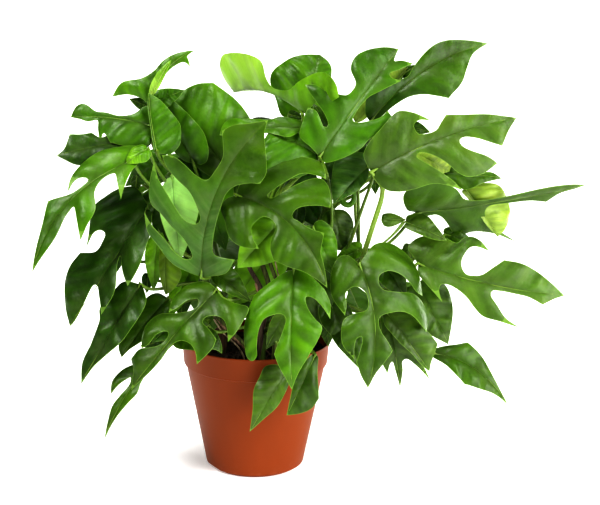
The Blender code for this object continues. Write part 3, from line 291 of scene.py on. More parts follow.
# The other materials. A noise has its scale and detail, and its roughness where it isn't the usual one, and a
# grain its scale, its detail and how far it is drawn out along Z. Tones and roughnesses are the least amount
# and what the noise adds to it, patches the range over which they come in, and a relief its depth and
# strength. PLASTIC_TONE is what clouds and flow add to the tone, PLASTIC_UNEVEN what clouds, flow and scuffs
# add to the roughness, and SCUFF_HEIGHT the heights in metres between which the scuffs come in.
STALK_GRAIN = (700.0, 2.0, 0.12)
STALK_TONE = (0.78, 0.44)
STALK_ROUGHNESS = (0.36, 0.14)
STALK_RELIEF = (0.0002, 0.5)
STALK_GLOSS = 0.5
STALK_DEPTH = 0.003
PLASTIC_CLOUDS = (9.0, 3.0)
PLASTIC_FLOW = (60.0, 2.0, 0.08)
PLASTIC_SPECKLE = (1500.0, 2.0)
PLASTIC_GAINS = (0.86, 1.12)
PLASTIC_TONE = (0.5, 0.25)
PLASTIC_UNEVEN = (0.10, 0.06, 0.2)
PLASTIC_WAVES = (0.0012, 0.25)
PLASTIC_RELIEF = (0.00004, 0.6)
PLASTIC_GLOSS = 0.20
SCUFF_NOISE = (120.0, 5.0)
SCUFF_PATCHES = (0.50, 0.75)
SCUFF_HEIGHT = (0.02, 0.0)
SCUFF_SHARE = 0.12
CLOD_NOISE = (190.0, 6.0, 0.65)
CLOD_PATCHES = (0.35, 0.70)
CLOD_RELIEF = (0.0020, 0.8)
FIBRE_NOISE = (520.0, 3.0)
FIBRE_PATCHES = (0.60, 0.72)
FIBRE_SHARE = 0.5
SOIL_GAINS = (0.55, 1.9)
SOIL_ROUGHNESS = (0.78, 0.2)
SOIL_GLOSS = 0.3
SHEATH_GRAIN = (420.0, 4.0, 0.10)
SHEATH_PATCHES = (0.35, 0.66)
SHEATH_TINTS = ((0.35, 0.30, 0.28, 1.0), (1.3, 1.3, 1.3, 1.0))
SHEATH_ROUGHNESS = (0.62, 0.2)
SHEATH_RELIEF = (0.0004, 0.8)
BLOTCH_NOISE = (70.0, 3.0)
BLOTCH_PATCHES = (0.5, 0.75)
BLOTCH_SHARE = 0.4
FLOOR_NOISE = (1.7, 2.0)
FLOOR_MOTTLE = 0.03
FLOOR_ROUGHNESS = 0.9
FLOOR_GLOSS = 0.1

# The sides of a leaf are in parts of its length, and TIP marks their sharp points
LEAF_PARTS = 100
TIP = True

# Sides that several leaves share, from the petiole to the tip: along the midrib, then out from it
ENTIRE = [(-6, 7), (-5, 18), (8, 27), (28, 30), (52, 24), (76, 13)]
BROAD = [(-6, 9), (-5, 23), (8, 35), (28, 39), (52, 32), (76, 17)]
SLIM = [(4, 7), (18, 14), (40, 17), (64, 13), (84, 6)]
ONE_CUT = [(-7, 8), (-6, 20), (8, 29), (30, 32), (50, 29, TIP), (40, 21), (33, 11), (40, 7), (52, 13),
           (66, 21, TIP), (82, 10)]
TWO_CUTS = [(-8, 8), (-7, 22), (4, 32), (20, 37), (38, 36, TIP), (27, 26), (20, 13), (27, 8), (38, 19),
            (50, 30), (66, 31, TIP), (56, 20), (49, 9), (56, 6), (66, 11), (77, 17, TIP), (89, 7)]
LATE_CUT = [(-6, 9), (-4, 22), (12, 31), (34, 33), (56, 27, TIP), (50, 17), (46, 8), (53, 5), (62, 11),
            (72, 16, TIP), (87, 7)]

# How a leaf is, where its row doesn't say otherwise
USUAL_LEAF = {"left": ENTIRE, "right": ENTIRE, "bow": 0.06, "sweep": 0.0, "fold": (8, 8), "curl": 25,
              "lift": 30, "root": 0.6, "via": (), "stalk": 1.0}


def leaf(base, tip, face, tone, **own):
    """A leaf: where its petiole ends and its tip lies, which way it faces (degrees round from -Y, then up),
    its tone of green, and what is its own: the outline of its left and right side, and how it bends. bow
    arches it off its chord and sweep aside, in leaf lengths. fold is how far each half is folded up at the
    midrib, and curl how far the halves curl down, in degrees. lift is how far under its base the petiole
    comes up, root is how high on its stem, via lists places that the petiole passes through, stalk is its
    thickness against the usual one, and tip_tone is the tone of its outer half."""
    return {"base": base, "tip": tip, "face": face, "tone": tone, "tip_tone": tone, **USUAL_LEAF, **own}


LEFT_STEM = [(-39, -12, STEM_FOOT), (-39, -12, 142), (-45, -14, 185), (-57, -18, 225), (-67, -20, 262)]
LEFT_LEAVES = [
    leaf((-132, -50, 360), (-232, -100, 245), (-25, 30), "bright", tip_tone="fresh", bow=0.08, sweep=0.11,
         fold=(5, 5), curl=30, root=0.96,
         left=[(-2, 4), (5, 10), (20, 26, TIP), (15, 11), (14, 4), (22, 3), (32, 9), (41, 21), (56, 24),
               (69, 26, TIP), (58, 17), (50, 7), (57, 6), (77, 8)],
         right=[(-8, 3), (-9, 7), (-4, 11), (6, 15), (15, 18), (26, 17), (37, 13), (45, 6, TIP), (37, 9),
                (32, 7), (30, 3), (36, 2), (46, 4), (57, 13, TIP), (72, 6)]),
    leaf((-121, -28, 305), (-200, -75, 180), (-35, 20), "deep_and_shaded", sweep=-0.05, root=0.9,
         left=[(3, 6), (16, 16), (31, 22), (42, 25), (55, 25, TIP), (49, 15), (40, 4), (46, 6), (62, 18),
               (79, 20, TIP), (73, 12), (67, 2), (68, -3), (83, -1), (95, 1)],
         right=[(-3, 3), (-12, 17), (-13, 29), (-7, 43), (10, 47), (27, 40), (45, 29, TIP), (34, 31),
                (29, 26), (30, 19), (35, 17), (46, 17), (53, 30, TIP), (67, 30), (80, 25), (92, 13)]),
    leaf((-125, -60, 226), (-186, -90, 120), (-30, 25), "deep_and_shaded", sweep=-0.03, root=0.5,
         left=[(3, 6), (12, 17), (23, 19), (38, 18), (52, 16), (69, 8), (83, 2)],
         right=[(5, 16), (20, 20), (35, 22), (46, 15), (66, 11), (85, 9)]),
    leaf((-96, -45, 207), (-145, -70, 144), (-20, 25), "mid", root=0.4,
         left=[(4, 9), (13, 17), (40, 18), (68, 11), (86, 3)],
         right=[(4, 16), (17, 23), (33, 20), (56, 17), (78, 15), (91, 12)]),
    leaf((-111, -80, 143), (-158, -110, 66), (-30, 30), "mid", sweep=0.03, lift=-20, root=0.2,
         left=[(2, 4), (14, 5), (26, 8), (38, 13), (56, 8), (78, 2)],
         right=[(4, 7), (17, 18), (28, 24), (42, 26), (54, 18, TIP), (43, 16), (33, 12), (27, 8), (35, 4),
                (50, 6), (64, 8), (80, 5)]),
    leaf((-99, -40, 270), (-98, -50, 209), (-5, 10), "olive", root=0.7,
         left=[(10, 19), (46, 26), (65, 29), (88, 16)], right=[(14, 9), (47, 11), (79, 7)]),
    leaf((-92, -35, 340), (-82, -45, 245), (0, 10), "pale", right=SLIM, root=0.8),
    leaf((-115, -50, 372), (-139, -54, 355), (-20, 25), "bright", tip_tone="spring", fold=(0, 0), curl=30,
         root=0.96, left=[(3, 26), (32, 38), (74, 22)], right=[(12, 34), (54, 42), (85, 22)]),
    leaf((-100, -30, 321), (-102, -34, 243), (-5, 10), "deep_and_shaded", left=SLIM, right=SLIM, root=0.7),
    leaf((-107, -37, 280), (-113, -40, 210), (-5, 10), "spring", left=SLIM, right=SLIM, root=0.6),
    leaf((-66, -15, 245), (-100, -30, 174), (-10, 15), "spring", left=SLIM, right=SLIM, root=0.5),
    leaf((-87, -40, 177), (-116, -40, 152), (-15, 15), "fresh", root=0.3),
    leaf((-36, -20, 202), (-62, -25, 154), (-5, 10), "mid", root=0.35),
    leaf((-84, 0, 200), (-86, -6, 168), (0, 15), "mid", root=0.4),
    leaf((-79, 0, 266), (-80, -6, 238), (0, 15), "deep_and_shaded", root=0.7),
    leaf((-158, 0, 246), (-160, -6, 222), (0, 15), "deep_and_shaded", root=0.6),
    leaf((-124, 0, 222), (-125, -6, 200), (0, 15), "deep_and_shaded", root=0.5),
    leaf((-104, 0, 143), (-134, -3, 137), (0, 15), "deep_and_shaded", root=0.3),
]

FRONT_STEM = [(8, -48, STEM_FOOT), (8, -48, 142), (11, -50, 170), (17, -52, 200), (21, -52, 225)]
FRONT_LEAVES = [
    leaf((43, -80, 250), (43, -130, 130), (5, 35), "bright", bow=0.1, sweep=0.02, fold=(15, 5), curl=50,
         root=0.9,
         left=[(2, 8), (9, 18), (17, 27, TIP), (28, 32), (42, 32, TIP), (32, 25), (25, 17), (25, 11),
               (34, 13), (43, 19), (50, 25), (62, 21), (72, 15, TIP), (87, 6)],
         right=[(3, 6), (12, 17), (23.5, 31), (36.5, 36.5), (50, 40), (65, 39.2), (74, 37.5), (77.8, 33.5),
                (77, 30), (73, 27.7), (65, 28), (53, 26.5), (44.5, 22.5), (41, 16), (39.5, 8.5), (43, 4.5),
                (50, 5.5), (57.5, 8), (72, 13.5, TIP), (81, 10), (92, 4)]),
    leaf((38, -96, 142), (-2, -110, 75), (-5, 10), "satin", lift=-30, root=0.3,
         left=[(3, 6), (12, 11), (30, 14), (51, 14), (76, 7)],
         right=[(1, 10), (4, 19), (13, 28), (28, 27), (48, 24), (73, 11)]),
    leaf((68, -93, 158), (38, -112, 95), (10, 10), "mid", lift=-15, root=0.4,
         left=[(2, 6), (26, 15), (57, 32, TIP), (74, 29), (88, 17)],
         right=[(2, 5), (19, 11), (47, 13), (75, 7)]),
    leaf((38, -65, 205), (13, -72, 155), (0, 10), "satin", right=SLIM, root=0.6),
    leaf((-47, -84, 186), (-89, -92, 172), (-20, 35), "mid", fold=(5, 5), curl=20, root=0.3,
         left=[(-12, 20), (-16, 50), (-12, 72, TIP), (6, 62), (50, 50), (90, 28)],
         right=[(0, 16), (22, 23), (61, 18), (86, 11)]),
    leaf((-39, -86, 228), (-127, -122, 125), (-20, 40), "mid", bow=0.08, sweep=-0.02, fold=(5, 5), curl=40,
         lift=55, root=0.8,
         left=[(3, 9), (1, 20), (-3, 30), (8, 35), (17, 37), (26, 37, TIP), (20, 31), (16, 24), (17, 17),
               (22, 11), (27, 12), (28, 19), (30, 29, TIP), (38, 31), (53, 30, TIP), (47, 23), (45, 16),
               (47, 9), (52, 5), (58, 4), (68, 5), (80, 4), (90, 2)],
         right=[(0, 11), (7, 21), (16, 25), (27, 24), (37, 17, TIP), (30, 14), (21, 12), (15, 7), (17, 3),
                (24, 3), (33, 10), (43, 23), (55, 26), (65, 22), (72, 15, TIP), (66, 12), (57, 12), (51, 9),
                (49, 5), (53, 3), (60, 4), (66, 8), (74, 16), (84, 17, TIP), (88, 9), (94, 4)]),
]

RIGHT_STEM = [(48, -18, STEM_FOOT), (48, -18, 142), (53, -22, 175), (63, -26, 210), (73, -28, 240)]
RIGHT_LEAVES = [
    leaf((113, -75, 255), (123, -120, 130), (10, 35), "mid", bow=0.08, sweep=-0.08, fold=(10, 10), curl=50,
         root=0.96,
         left=[(-5, 8), (-10, 18), (-10, 29), (-5, 39), (6, 48), (16, 52), (31, 51, TIP), (28, 42),
               (22, 37), (16, 30), (12, 21), (13, 12), (19, 9), (25, 12), (28, 24), (30, 39), (36, 50),
               (44, 56), (56, 49, TIP), (51, 42), (45, 33), (42, 24), (42, 14), (44, 5), (50, 3), (57, 5),
               (64, 10), (70, 14, TIP), (80, 8), (89, 3)],
         right=[(-6, 3), (-10, 7), (-10, 14), (-3, 23), (8, 29), (23, 30), (41, 24, TIP), (30, 21),
                (21, 20), (17, 15), (17, 9), (22, 4), (28, 3), (35, 4), (39, 8), (40, 16), (44, 25),
                (56, 28), (69, 26), (80, 16, TIP), (71, 17), (63, 16), (60, 12), (65, 11), (82, 14, TIP),
                (92, 8)]),
    leaf((178, -45, 250), (338, -60, 220), (15, 25), "satin", sweep=0.05, root=0.9,
         left=[(-5, 4), (-10, 8), (-8, 15), (-1, 21), (11, 23), (20, 22), (24, 27), (30, 29), (37, 27),
               (44, 22, TIP), (36, 23), (30, 21), (27, 13), (28, 7), (32, 3), (37, 3), (43, 5), (49, 11),
               (56, 18, TIP), (68, 18), (78, 15), (90, 8)],
         right=[(3, 7), (10, 12), (16, 16), (23, 21, TIP), (19, 14), (19, 9), (25, 8), (35, 12), (43, 19),
                (49, 23), (59, 24), (71, 26, TIP), (62, 21), (56, 14), (51, 8), (52, 4), (58, 3), (66, 3),
                (76, 4), (85, 8, TIP), (93, 3)]),
    leaf((198, -50, 150), (283, -60, 95), (15, 35), "mid", sweep=-0.11, lift=-20, root=0.2,
         left=[(2, 5), (8, 9), (22, 16), (31, 23, TIP), (46, 18), (64, 9), (83, 3)],
         right=[(2, 5), (14, 10), (31, 18), (46, 23, TIP), (65, 17), (85, 6)]),
    leaf((181, -38, 222), (216, -48, 158), (10, 20), "satin", left=BROAD, right=BROAD, root=0.6),
    leaf((143, -62, 200), (193, -75, 135), (5, 20), "satin", root=0.5,
         left=[(2, 6), (7, 9), (19, 21), (38, 25), (59, 29), (77, 30, TIP), (84, 20), (91, 9)],
         right=[(2, 6), (13, 12), (30, 12), (48, 10), (67, 6), (86, 4)]),
    leaf((148, -52, 195), (163, -58, 110), (0, 20), "satin", root=0.4,
         left=[(5, 8), (20, 14), (34, 18), (53, 26), (98, 40, TIP), (76, 26), (63, 14), (66, 7), (78, 6)],
         right=[(5, 8), (20, 13), (39, 17), (60, 19), (78, 14, TIP), (66, 9), (64, 5), (77, 3)]),
    leaf((163, -38, 295), (208, -55, 278), (10, 30), "satin", fold=(5, 5), curl=30, root=0.8,
         via=[(141, -40, 270)], stalk=0.6, left=[(-2, 18), (28, 35), (63, 20)],
         right=[(6, 12), (43, 15), (79, 11)]),
    leaf((163, -38, 297), (137, -36, 295), (0, 20), "satin", bow=0.02, fold=(5, 5), curl=30, root=0.8,
         via=[(141, -40, 270)], stalk=0.6, left=[(21, 15), (59, 28), (88, 23)],
         right=[(20, 14), (57, 29), (91, 25)]),
    leaf((83, -48, 205), (108, -60, 150), (10, 20), "mid", root=0.3),
    leaf((65, -42, 248), (71, -46, 167), (0, 10), "mid", root=0.6),
    leaf((141, -42, 249), (169, -46, 206), (10, 20), "mid", root=0.6),
    leaf((118, -20, 260), (86, -20, 244), (5, 15), "spring", root=0.9),
    leaf((96, -50, 189), (116, -70, 136), (10, 15), "mid", root=0.35),
    leaf((194, 10, 202), (196, 4, 157), (0, 15), "mid", root=0.6),
    leaf((176, 30, 256), (178, 24, 229), (0, 15), "satin", root=0.8),
    leaf((142, 0, 183), (144, -6, 158), (0, 15), "mid", root=0.5),
    leaf((80, -20, 177), (83, -26, 146), (0, 15), "mid", root=0.3),
    leaf((212, 0, 274), (246, -2, 266), (0, 15), "mid", root=0.9, via=[(141, -30, 240), (185, -20, 252)]),
]

CENTRE_STEM = [(5, 0, STEM_FOOT), (5, 0, 142), (5, -2, 200), (7, -8, 250), (11, -14, 295)]
CENTRE_LEAVES = [
    leaf((-22, -60, 325), (78, -110, 235), (0, 20), "mid", sweep=-0.13, root=0.95,
         left=[(1, 10), (7, 25), (17, 39), (25, 48), (33, 53), (38, 50), (43, 44, TIP), (38, 42), (31, 36),
               (27, 25), (23, 14), (21, 8), (24, 7), (28, 13), (33, 27), (37, 37), (41, 42), (46, 41),
               (51, 37), (57, 30, TIP), (51, 24), (44, 14), (43, 8), (45, 5), (50, 6), (58, 8), (64, 12),
               (67, 15, TIP), (76, 6), (83, 4), (92, 2)],
         right=[(-5, 5), (-6, 13), (0, 22), (8, 32), (20, 35), (33, 33), (43, 29, TIP), (32, 26), (24, 20),
                (24, 14), (27, 8), (33, 6), (40, 8), (43, 12), (45, 17), (51, 23), (62, 27, TIP), (75, 20),
                (84, 12), (93, 5)]),
    leaf((-57, -75, 235), (13, -75, 405), (-10, 10), "blue", tip_tone="mid", bow=0.03, sweep=-0.11, curl=10,
         root=0.6,
         left=[(3, 8), (7, 17), (15, 26), (21, 33), (29, 37, TIP), (24, 31), (19, 23), (14, 17), (10, 11),
               (10, 6), (13, 6), (20, 11), (25, 19), (30, 27), (33, 34), (39, 38), (51, 41, TIP), (45, 35),
               (40, 27), (35, 20), (30, 13), (29, 6), (33, 4), (40, 9), (45, 15), (48, 24), (51, 32),
               (55, 38, TIP), (57, 31), (56, 23), (54, 15), (54, 8), (60, 6), (69, 6), (75, 10),
               (80, 15, TIP), (86, 12), (92, 6)],
         right=[(1, 6), (4, 16), (13, 21, TIP), (13, 13), (15, 7), (25, 6), (42, 6), (52, 6), (59, 9),
                (65, 15), (69, 21, TIP), (78, 20), (87, 12), (94, 4)]),
    leaf((68, -50, 365), (153, 0, 480), (5, 30), "fresh", root=0.5,
         via=[(82, -32, 262), (84, -14, 298), (80, -14, 330)],
         left=[(2, 9), (4, 20), (13, 24), (24, 27, TIP), (25, 20), (19, 10), (22, 8), (27, 15), (32, 28),
               (37, 39, TIP), (41, 32), (41, 24), (44, 15), (48, 9), (58, 9), (65, 18), (74, 21), (83, 18),
               (94, 9)],
         right=[(-1, 6), (9, 15), (21, 21), (29, 22), (38, 26), (46, 32), (51, 28), (54, 21, TIP), (48, 20),
                (42, 16), (35, 9), (35, 4), (44, 3), (55, 4), (63, 8), (79, 16, TIP), (77, 9), (80, 6),
                (86, 10), (96, 15, TIP), (93, 7), (90, 3)]),
    leaf((48, 0, 405), (-36, 110, 422), (-60, -5), "spring", tip_tone="lime", bow=0.03, sweep=0.1,
         fold=(-75, 0), curl=10, root=0.9, left=[(10, 6), (30, 12), (55, 14), (80, 8)],
         right=[(-9, 18), (-20, 25), (-27, 34, TIP), (-20, 41), (-9, 42), (0, 38), (11, 24), (20, 11),
                (32, 6), (42, 6), (49, 12), (55, 23), (69, 28), (95, 33), (110, 35), (116, 28), (111, 14)]),
    leaf((58, -25, 395), (-42, -20, 385), (0, 60), "bright", root=0.8,
         left=[(2, 6), (12, 10), (22, 19), (36, 16), (47, 11), (75, 8), (90, 4)],
         right=[(2, 7), (16, 14), (32, 17), (46, 13), (66, 19), (87, 25), (96, 17)]),
    leaf((63, -55, 290), (88, -60, 235), (10, 10), "bright", root=0.5),
    leaf((68, -36, 366), (13, -34, 390), (0, 35), "fresh", curl=20, root=0.95,
         left=[(-6, 25), (19, 61), (55, 80), (85, 64), (100, 30)], right=[(13, 14), (43, 19), (79, 16)]),
    leaf((26, -56, 293), (-18, -72, 246), (10, 15), "spring", fold=(10, 10), curl=20, root=0.7,
         left=[(2, 12), (13, 22), (40, 39), (72, 24)], right=[(1, 20), (24, 39), (53, 32), (80, 16)]),
    leaf((-47, -60, 240), (-2, -82, 212), (0, 30), "mid", right=SLIM, root=0.4),
    leaf((21, -34, 259), (-33, -36, 190), (0, 15), "spring", root=0.3),
    leaf((108, 8, 396), (171, 22, 464), (5, 20), "yellow", root=0.9,
         left=[(7, 12), (27, 14), (52, 12), (77, 10)], right=[(13, 5), (40, 3), (67, 4), (78, 3)]),
    leaf((10, -38, 217), (-21, -40, 178), (-5, 15), "deep_and_shaded", root=0.25),
    leaf((90, 15, 374), (60, 22, 418), (0, 20), "mid", root=0.9),
    leaf((-24, 10, 334), (-23, 4, 307), (0, 15), "mid", root=0.9),
    leaf((45, 20, 302), (46, 14, 270), (0, 15), "deep_and_shaded", root=0.8),
    leaf((33, 30, 404), (52, 28, 399), (0, 15), "mid", root=0.95),
]

BACK_LEFT_STEM = [(-33, 36, STEM_FOOT), (-33, 36, 142), (-39, 34, 200), (-51, 28, 255), (-63, 20, 300)]
BACK_LEFT_LEAVES = [
    leaf((-119, -10, 420), (-71, 0, 474), (-10, 15), "bright", bow=0.03, sweep=-0.12, fold=(0, 0), curl=8,
         root=0.96,
         left=[(-4, 5), (-1, 15), (-1, 36), (-9, 62, TIP), (9, 51), (21, 26), (38, 14), (58, 13), (77, 9)],
         right=[(4, 3), (15, 2), (22, 5), (37, 3), (59, 4), (76, 7), (82, 13), (84, 21, TIP), (87, 9),
                (88, 3)]),
    leaf((-115, -20, 393), (-207, -8, 400), (-15, 30), "fresh", bow=0.05, sweep=0.03, fold=(0, 10), curl=20,
         root=0.9,
         left=[(-3, 23), (21, 31), (44, 31, TIP), (55, 20), (58, 33, TIP), (63, 16), (66, 4), (78, 6),
               (88, 3)], right=[(0, 14), (12, 22), (24, 9), (41, 4), (57, 6), (70, 7), (83, 15), (93, 13)]),
    leaf((-107, -35, 367), (-117, -25, 428), (25, 15), "fresh", bow=-0.05, fold=(0, 0), curl=-30, root=0.93,
         left=[(2, 4), (10, 4), (45, 3), (76, 3)],
         right=[(-6, 10), (-8, 24), (6, 43), (33, 49), (53, 42), (83, 23)]),
    leaf((-117, -10, 380), (-217, -35, 360), (-20, 20), "deep_and_shaded", root=0.66,
         left=[(2, 8), (18, 16), (50, 20), (67, 20), (82, 16), (92, 8)],
         right=[(2, 8), (20, 14), (40, 10), (52, 8), (60, 15, TIP), (71, 16), (82, 19, TIP), (90, 6)]),
    leaf((-27, 0, 335), (-97, 20, 415), (-15, 25), "mid", tip_tone="bright", root=0.87,
         left=[(2, 10), (20, 20), (45, 25), (70, 24), (90, 14)],
         right=[(2, 16), (12, 32), (28, 48), (40, 53), (64, 53), (90, 46, TIP), (99, 32), (103, 15)]),
    leaf((-72, -5, 350), (-112, 20, 430), (-25, 10), "fresh", left=SLIM, root=0.8),
    leaf((-117, 50, 300), (-192, 95, 250), (-70, 35), "mid", left=TWO_CUTS, right=ONE_CUT, root=0.5),
    leaf((-102, 62, 330), (-162, 140, 285), (-110, 45), "mid", left=ONE_CUT, right=TWO_CUTS, root=0.76),
    leaf((-77, 90, 350), (-127, 200, 310), (-150, 40), "fresh", left=TWO_CUTS, right=TWO_CUTS, root=0.84),
    leaf((-57, 100, 235), (-87, 180, 130), (-150, 25), "deep_and_shaded", left=ONE_CUT, right=ONE_CUT, root=0.4),
    leaf((-71, 8, 354), (-35, 4, 248), (0, 10), "bright", root=0.72),
    leaf((-105, 10, 354), (-152, 14, 320), (-10, 15), "fresh", root=0.69),
    leaf((-137, 10, 333), (-138, 4, 312), (0, 15), "mid", root=0.8),
    leaf((-123, 2, 412), (-143, 0, 420), (0, 15), "mid", root=0.96),
    leaf((-116, 8, 416), (-82, 14, 430), (0, 15), "fresh", root=0.96),
    leaf((-118, -16, 423), (-95, -10, 464), (-10, 10), "lime", tip_tone="spring", fold=(0, 0), curl=8,
         root=0.96, left=[(8, 8), (30, 13), (60, 12), (85, 6)], right=[(8, 5), (30, 8), (60, 7), (85, 4)]),
]

BACK_RIGHT_STEM = [(41, 30, STEM_FOOT), (41, 30, 142), (49, 26, 200), (63, 18, 255), (79, 8, 305)]
BACK_RIGHT_LEAVES = [
    leaf((123, -15, 400), (253, 15, 487), (10, 20), "deep_and_shaded", tip_tone="mid", sweep=-0.08, fold=(20, 5),
         curl=15, root=0.3, via=[(106, -20, 269), (116, -18, 302), (128, -16, 337)],
         left=[(2, 6), (6, 10), (12, 14), (19, 13), (32, 6), (39, 4), (44, 6), (55, 10), (65, 12), (73, 11),
               (84, 7)],
         right=[(2, 3), (18, 5), (31, 8), (40, 13), (47, 19), (54, 25, TIP), (70, 20), (79, 12), (88, 4)]),
    leaf((123, -55, 350), (278, -45, 410), (15, 20), "satin", sweep=-0.04, root=0.3,
         via=[(119, -32, 254), (129, -34, 290), (138, -38, 322)], stalk=1.6,
         left=[(0, 6), (2, 13), (10, 18), (19, 22), (28, 26), (33, 26), (40, 21), (47, 13, TIP), (41, 16),
               (37, 15), (36, 12), (37, 8), (42, 6), (48, 6), (52, 9), (57, 13, TIP), (66, 10), (82, 6),
               (91, 3)],
         right=[(0, 7), (3, 15), (10, 20), (20, 23), (33, 25), (42, 30), (50, 36, TIP), (46, 28), (39, 18),
                (33, 10), (30, 5), (33, 3), (39, 7), (46, 15), (51, 24), (57, 29), (68, 30), (80, 26, TIP),
                (74, 20), (65, 14), (60, 9), (60, 5), (64, 4), (71, 7), (79, 12), (86, 16, TIP), (92, 8)]),
    leaf((175, -20, 298), (368, 0, 331), (10, -30), "mid", bow=0.03, fold=(10, 0), curl=10, root=0.4,
         via=[(141, -26, 262)],
         left=[(-4, 4), (-6, 16), (0, 23), (13, 24), (23, 17), (29, 7), (42, 4), (54, 4), (68, 5), (80, 5),
               (92, 3)],
         right=[(6, 3), (13, 3), (18, 8), (24, 22, TIP), (34, 19), (47, 24), (61, 35, TIP), (48, 20),
                (41, 8), (43, 2), (54, 2), (67, 3), (77, 6, TIP), (85, 2), (94, 1)]),
    leaf((232, -7, 328), (273, -3, 272), (10, 15), "yellow", fold=(5, 5), curl=20, root=0.5,
         via=[(118, 14, 245), (113, 12, 325), (168, 10, 342)],
         left=[(-2, 12), (10, 28), (30, 49), (58, 52), (81, 40), (97, 18)],
         right=[(2, 7), (17, 6), (46, 6), (71, 6)]),
    leaf((171, -10, 368), (215, -5, 346), (15, 20), "yellow", fold=(5, 5), curl=20, root=0.9,
         via=[(121, 0, 338)], left=[(2, 10), (24, 20), (68, 25), (95, 18)],
         right=[(11, 20), (44, 30), (79, 18)]),
    leaf((86, -8, 302), (96, -14, 255), (15, 15), "satin", fold=(5, 5), curl=20, root=0.6,
         left=[(8, 26), (31, 39), (58, 38), (88, 23)], right=[(6, 24), (39, 40), (82, 32)]),
    leaf((188, 5, 345), (273, -5, 340), (10, 30), "mid", root=0.3, via=[(116, 2, 247), (113, -2, 325)],
         left=[(5, 8), (20, 12), (35, 10), (53, 5), (73, 5), (87, 6)],
         right=[(5, 8), (20, 14), (37, 17), (55, 23), (76, 11), (86, 6)]),
    leaf((123, -20, 354), (84, -34, 311), (-5, 20), "blue", root=0.6,
         left=[(8, 8), (25, 17), (53, 17), (76, 9)], right=[(-12, 22), (9, 46), (35, 52), (69, 31)]),
    leaf((133, 55, 225), (218, 95, 150), (60, 30), "mid", left=ONE_CUT, right=TWO_CUTS, root=0.5),
    leaf((113, 90, 330), (193, 170, 300), (130, 40), "fresh", left=TWO_CUTS, right=ONE_CUT, root=0.9),
    leaf((93, 95, 220), (133, 160, 130), (150, 25), "fresh", left=TWO_CUTS, right=ONE_CUT, root=0.4),
    leaf((93, 5, 355), (74, 5, 307), (0, 10), "deep_and_shaded", root=0.93),
    leaf((131, 10, 382), (103, 10, 357), (5, 15), "deep_and_shaded", root=0.85),
    leaf((132, 10, 338), (133, 4, 317), (0, 15), "mid", root=0.8),
    leaf((169, 10, 394), (193, 8, 388), (0, 15), "mid", root=0.95),
    leaf((159, 20, 450), (176, 18, 462), (0, 15), "mid", root=0.98),
]

BACK_STEM = [(3, 56, STEM_FOOT), (3, 56, 142), (3, 62, 190), (5, 68, 240), (7, 74, 290)]
BACK_LEAVES = [
    leaf((50, 85, 406), (69, 115, 470), (0, 20), "bright", root=0.9,
         left=[(-14, 8), (-19, 30), (2, 47), (33, 68), (54, 67), (73, 55), (87, 36)],
         right=[(-6, 12), (8, 28), (37, 34), (63, 29), (80, 25), (91, 16)]),
    leaf((23, 110, 390), (63, 230, 350), (160, 45), "mid", left=TWO_CUTS, right=TWO_CUTS, root=0.96),
    leaf((-27, 120, 280), (-57, 220, 190), (-170, 30), "fresh", left=TWO_CUTS, right=LATE_CUT, root=0.7),
    leaf((53, 115, 270), (83, 205, 190), (165, 30), "mid", left=LATE_CUT, right=TWO_CUTS, root=0.6),
    leaf((3, 110, 200), (3, 175, 105), (180, 20), "mid", left=ONE_CUT, right=TWO_CUTS, root=0.4),
    leaf((26, 40, 344), (78, 38, 267), (5, 10), "deep_and_shaded", root=0.8),
]

# Every shoot under its node's name in the CAD frame
SHOOTS = {
    "left_shoot": {"stem": LEFT_STEM, "leaves": LEFT_LEAVES},
    "front_shoot": {"stem": FRONT_STEM, "leaves": FRONT_LEAVES},
    "right_shoot": {"stem": RIGHT_STEM, "leaves": RIGHT_LEAVES},
    "centre_shoot": {"stem": CENTRE_STEM, "leaves": CENTRE_LEAVES},
    "back_left_shoot": {"stem": BACK_LEFT_STEM, "leaves": BACK_LEFT_LEAVES},
    "back_right_shoot": {"stem": BACK_RIGHT_STEM, "leaves": BACK_RIGHT_LEAVES},
    "back_shoot": {"stem": BACK_STEM, "leaves": BACK_LEAVES},
}


class Value:
    """A socket of a material, so that arithmetic on it adds Math nodes."""

    def __init__(self, shader, socket):
        self.shader = shader
        self.socket = socket

    def math(self, operation, first, second=0.0):
        return self.shader.node("ShaderNodeMath", {"operation": operation}, {0: first, 1: second})

    def __add__(self, other):
        return self.math("ADD", self, other)

    def __radd__(self, other):
        return self.math("ADD", other, self)

    def __sub__(self, other):
        return self.math("SUBTRACT", self, other)

    def __rsub__(self, other):
        return self.math("SUBTRACT", other, self)

    def __mul__(self, other):
        return self.math("MULTIPLY", self, other)

    def __rmul__(self, other):
        return self.math("MULTIPLY", other, self)

    def __abs__(self):
        return self.math("ABSOLUTE", self)

    def cosine(self):
        return self.math("COSINE", self)

    def ranged(self, least, span):
        """The same value, where it goes from 0 to 1, as a number from least on."""
        return self * span + least


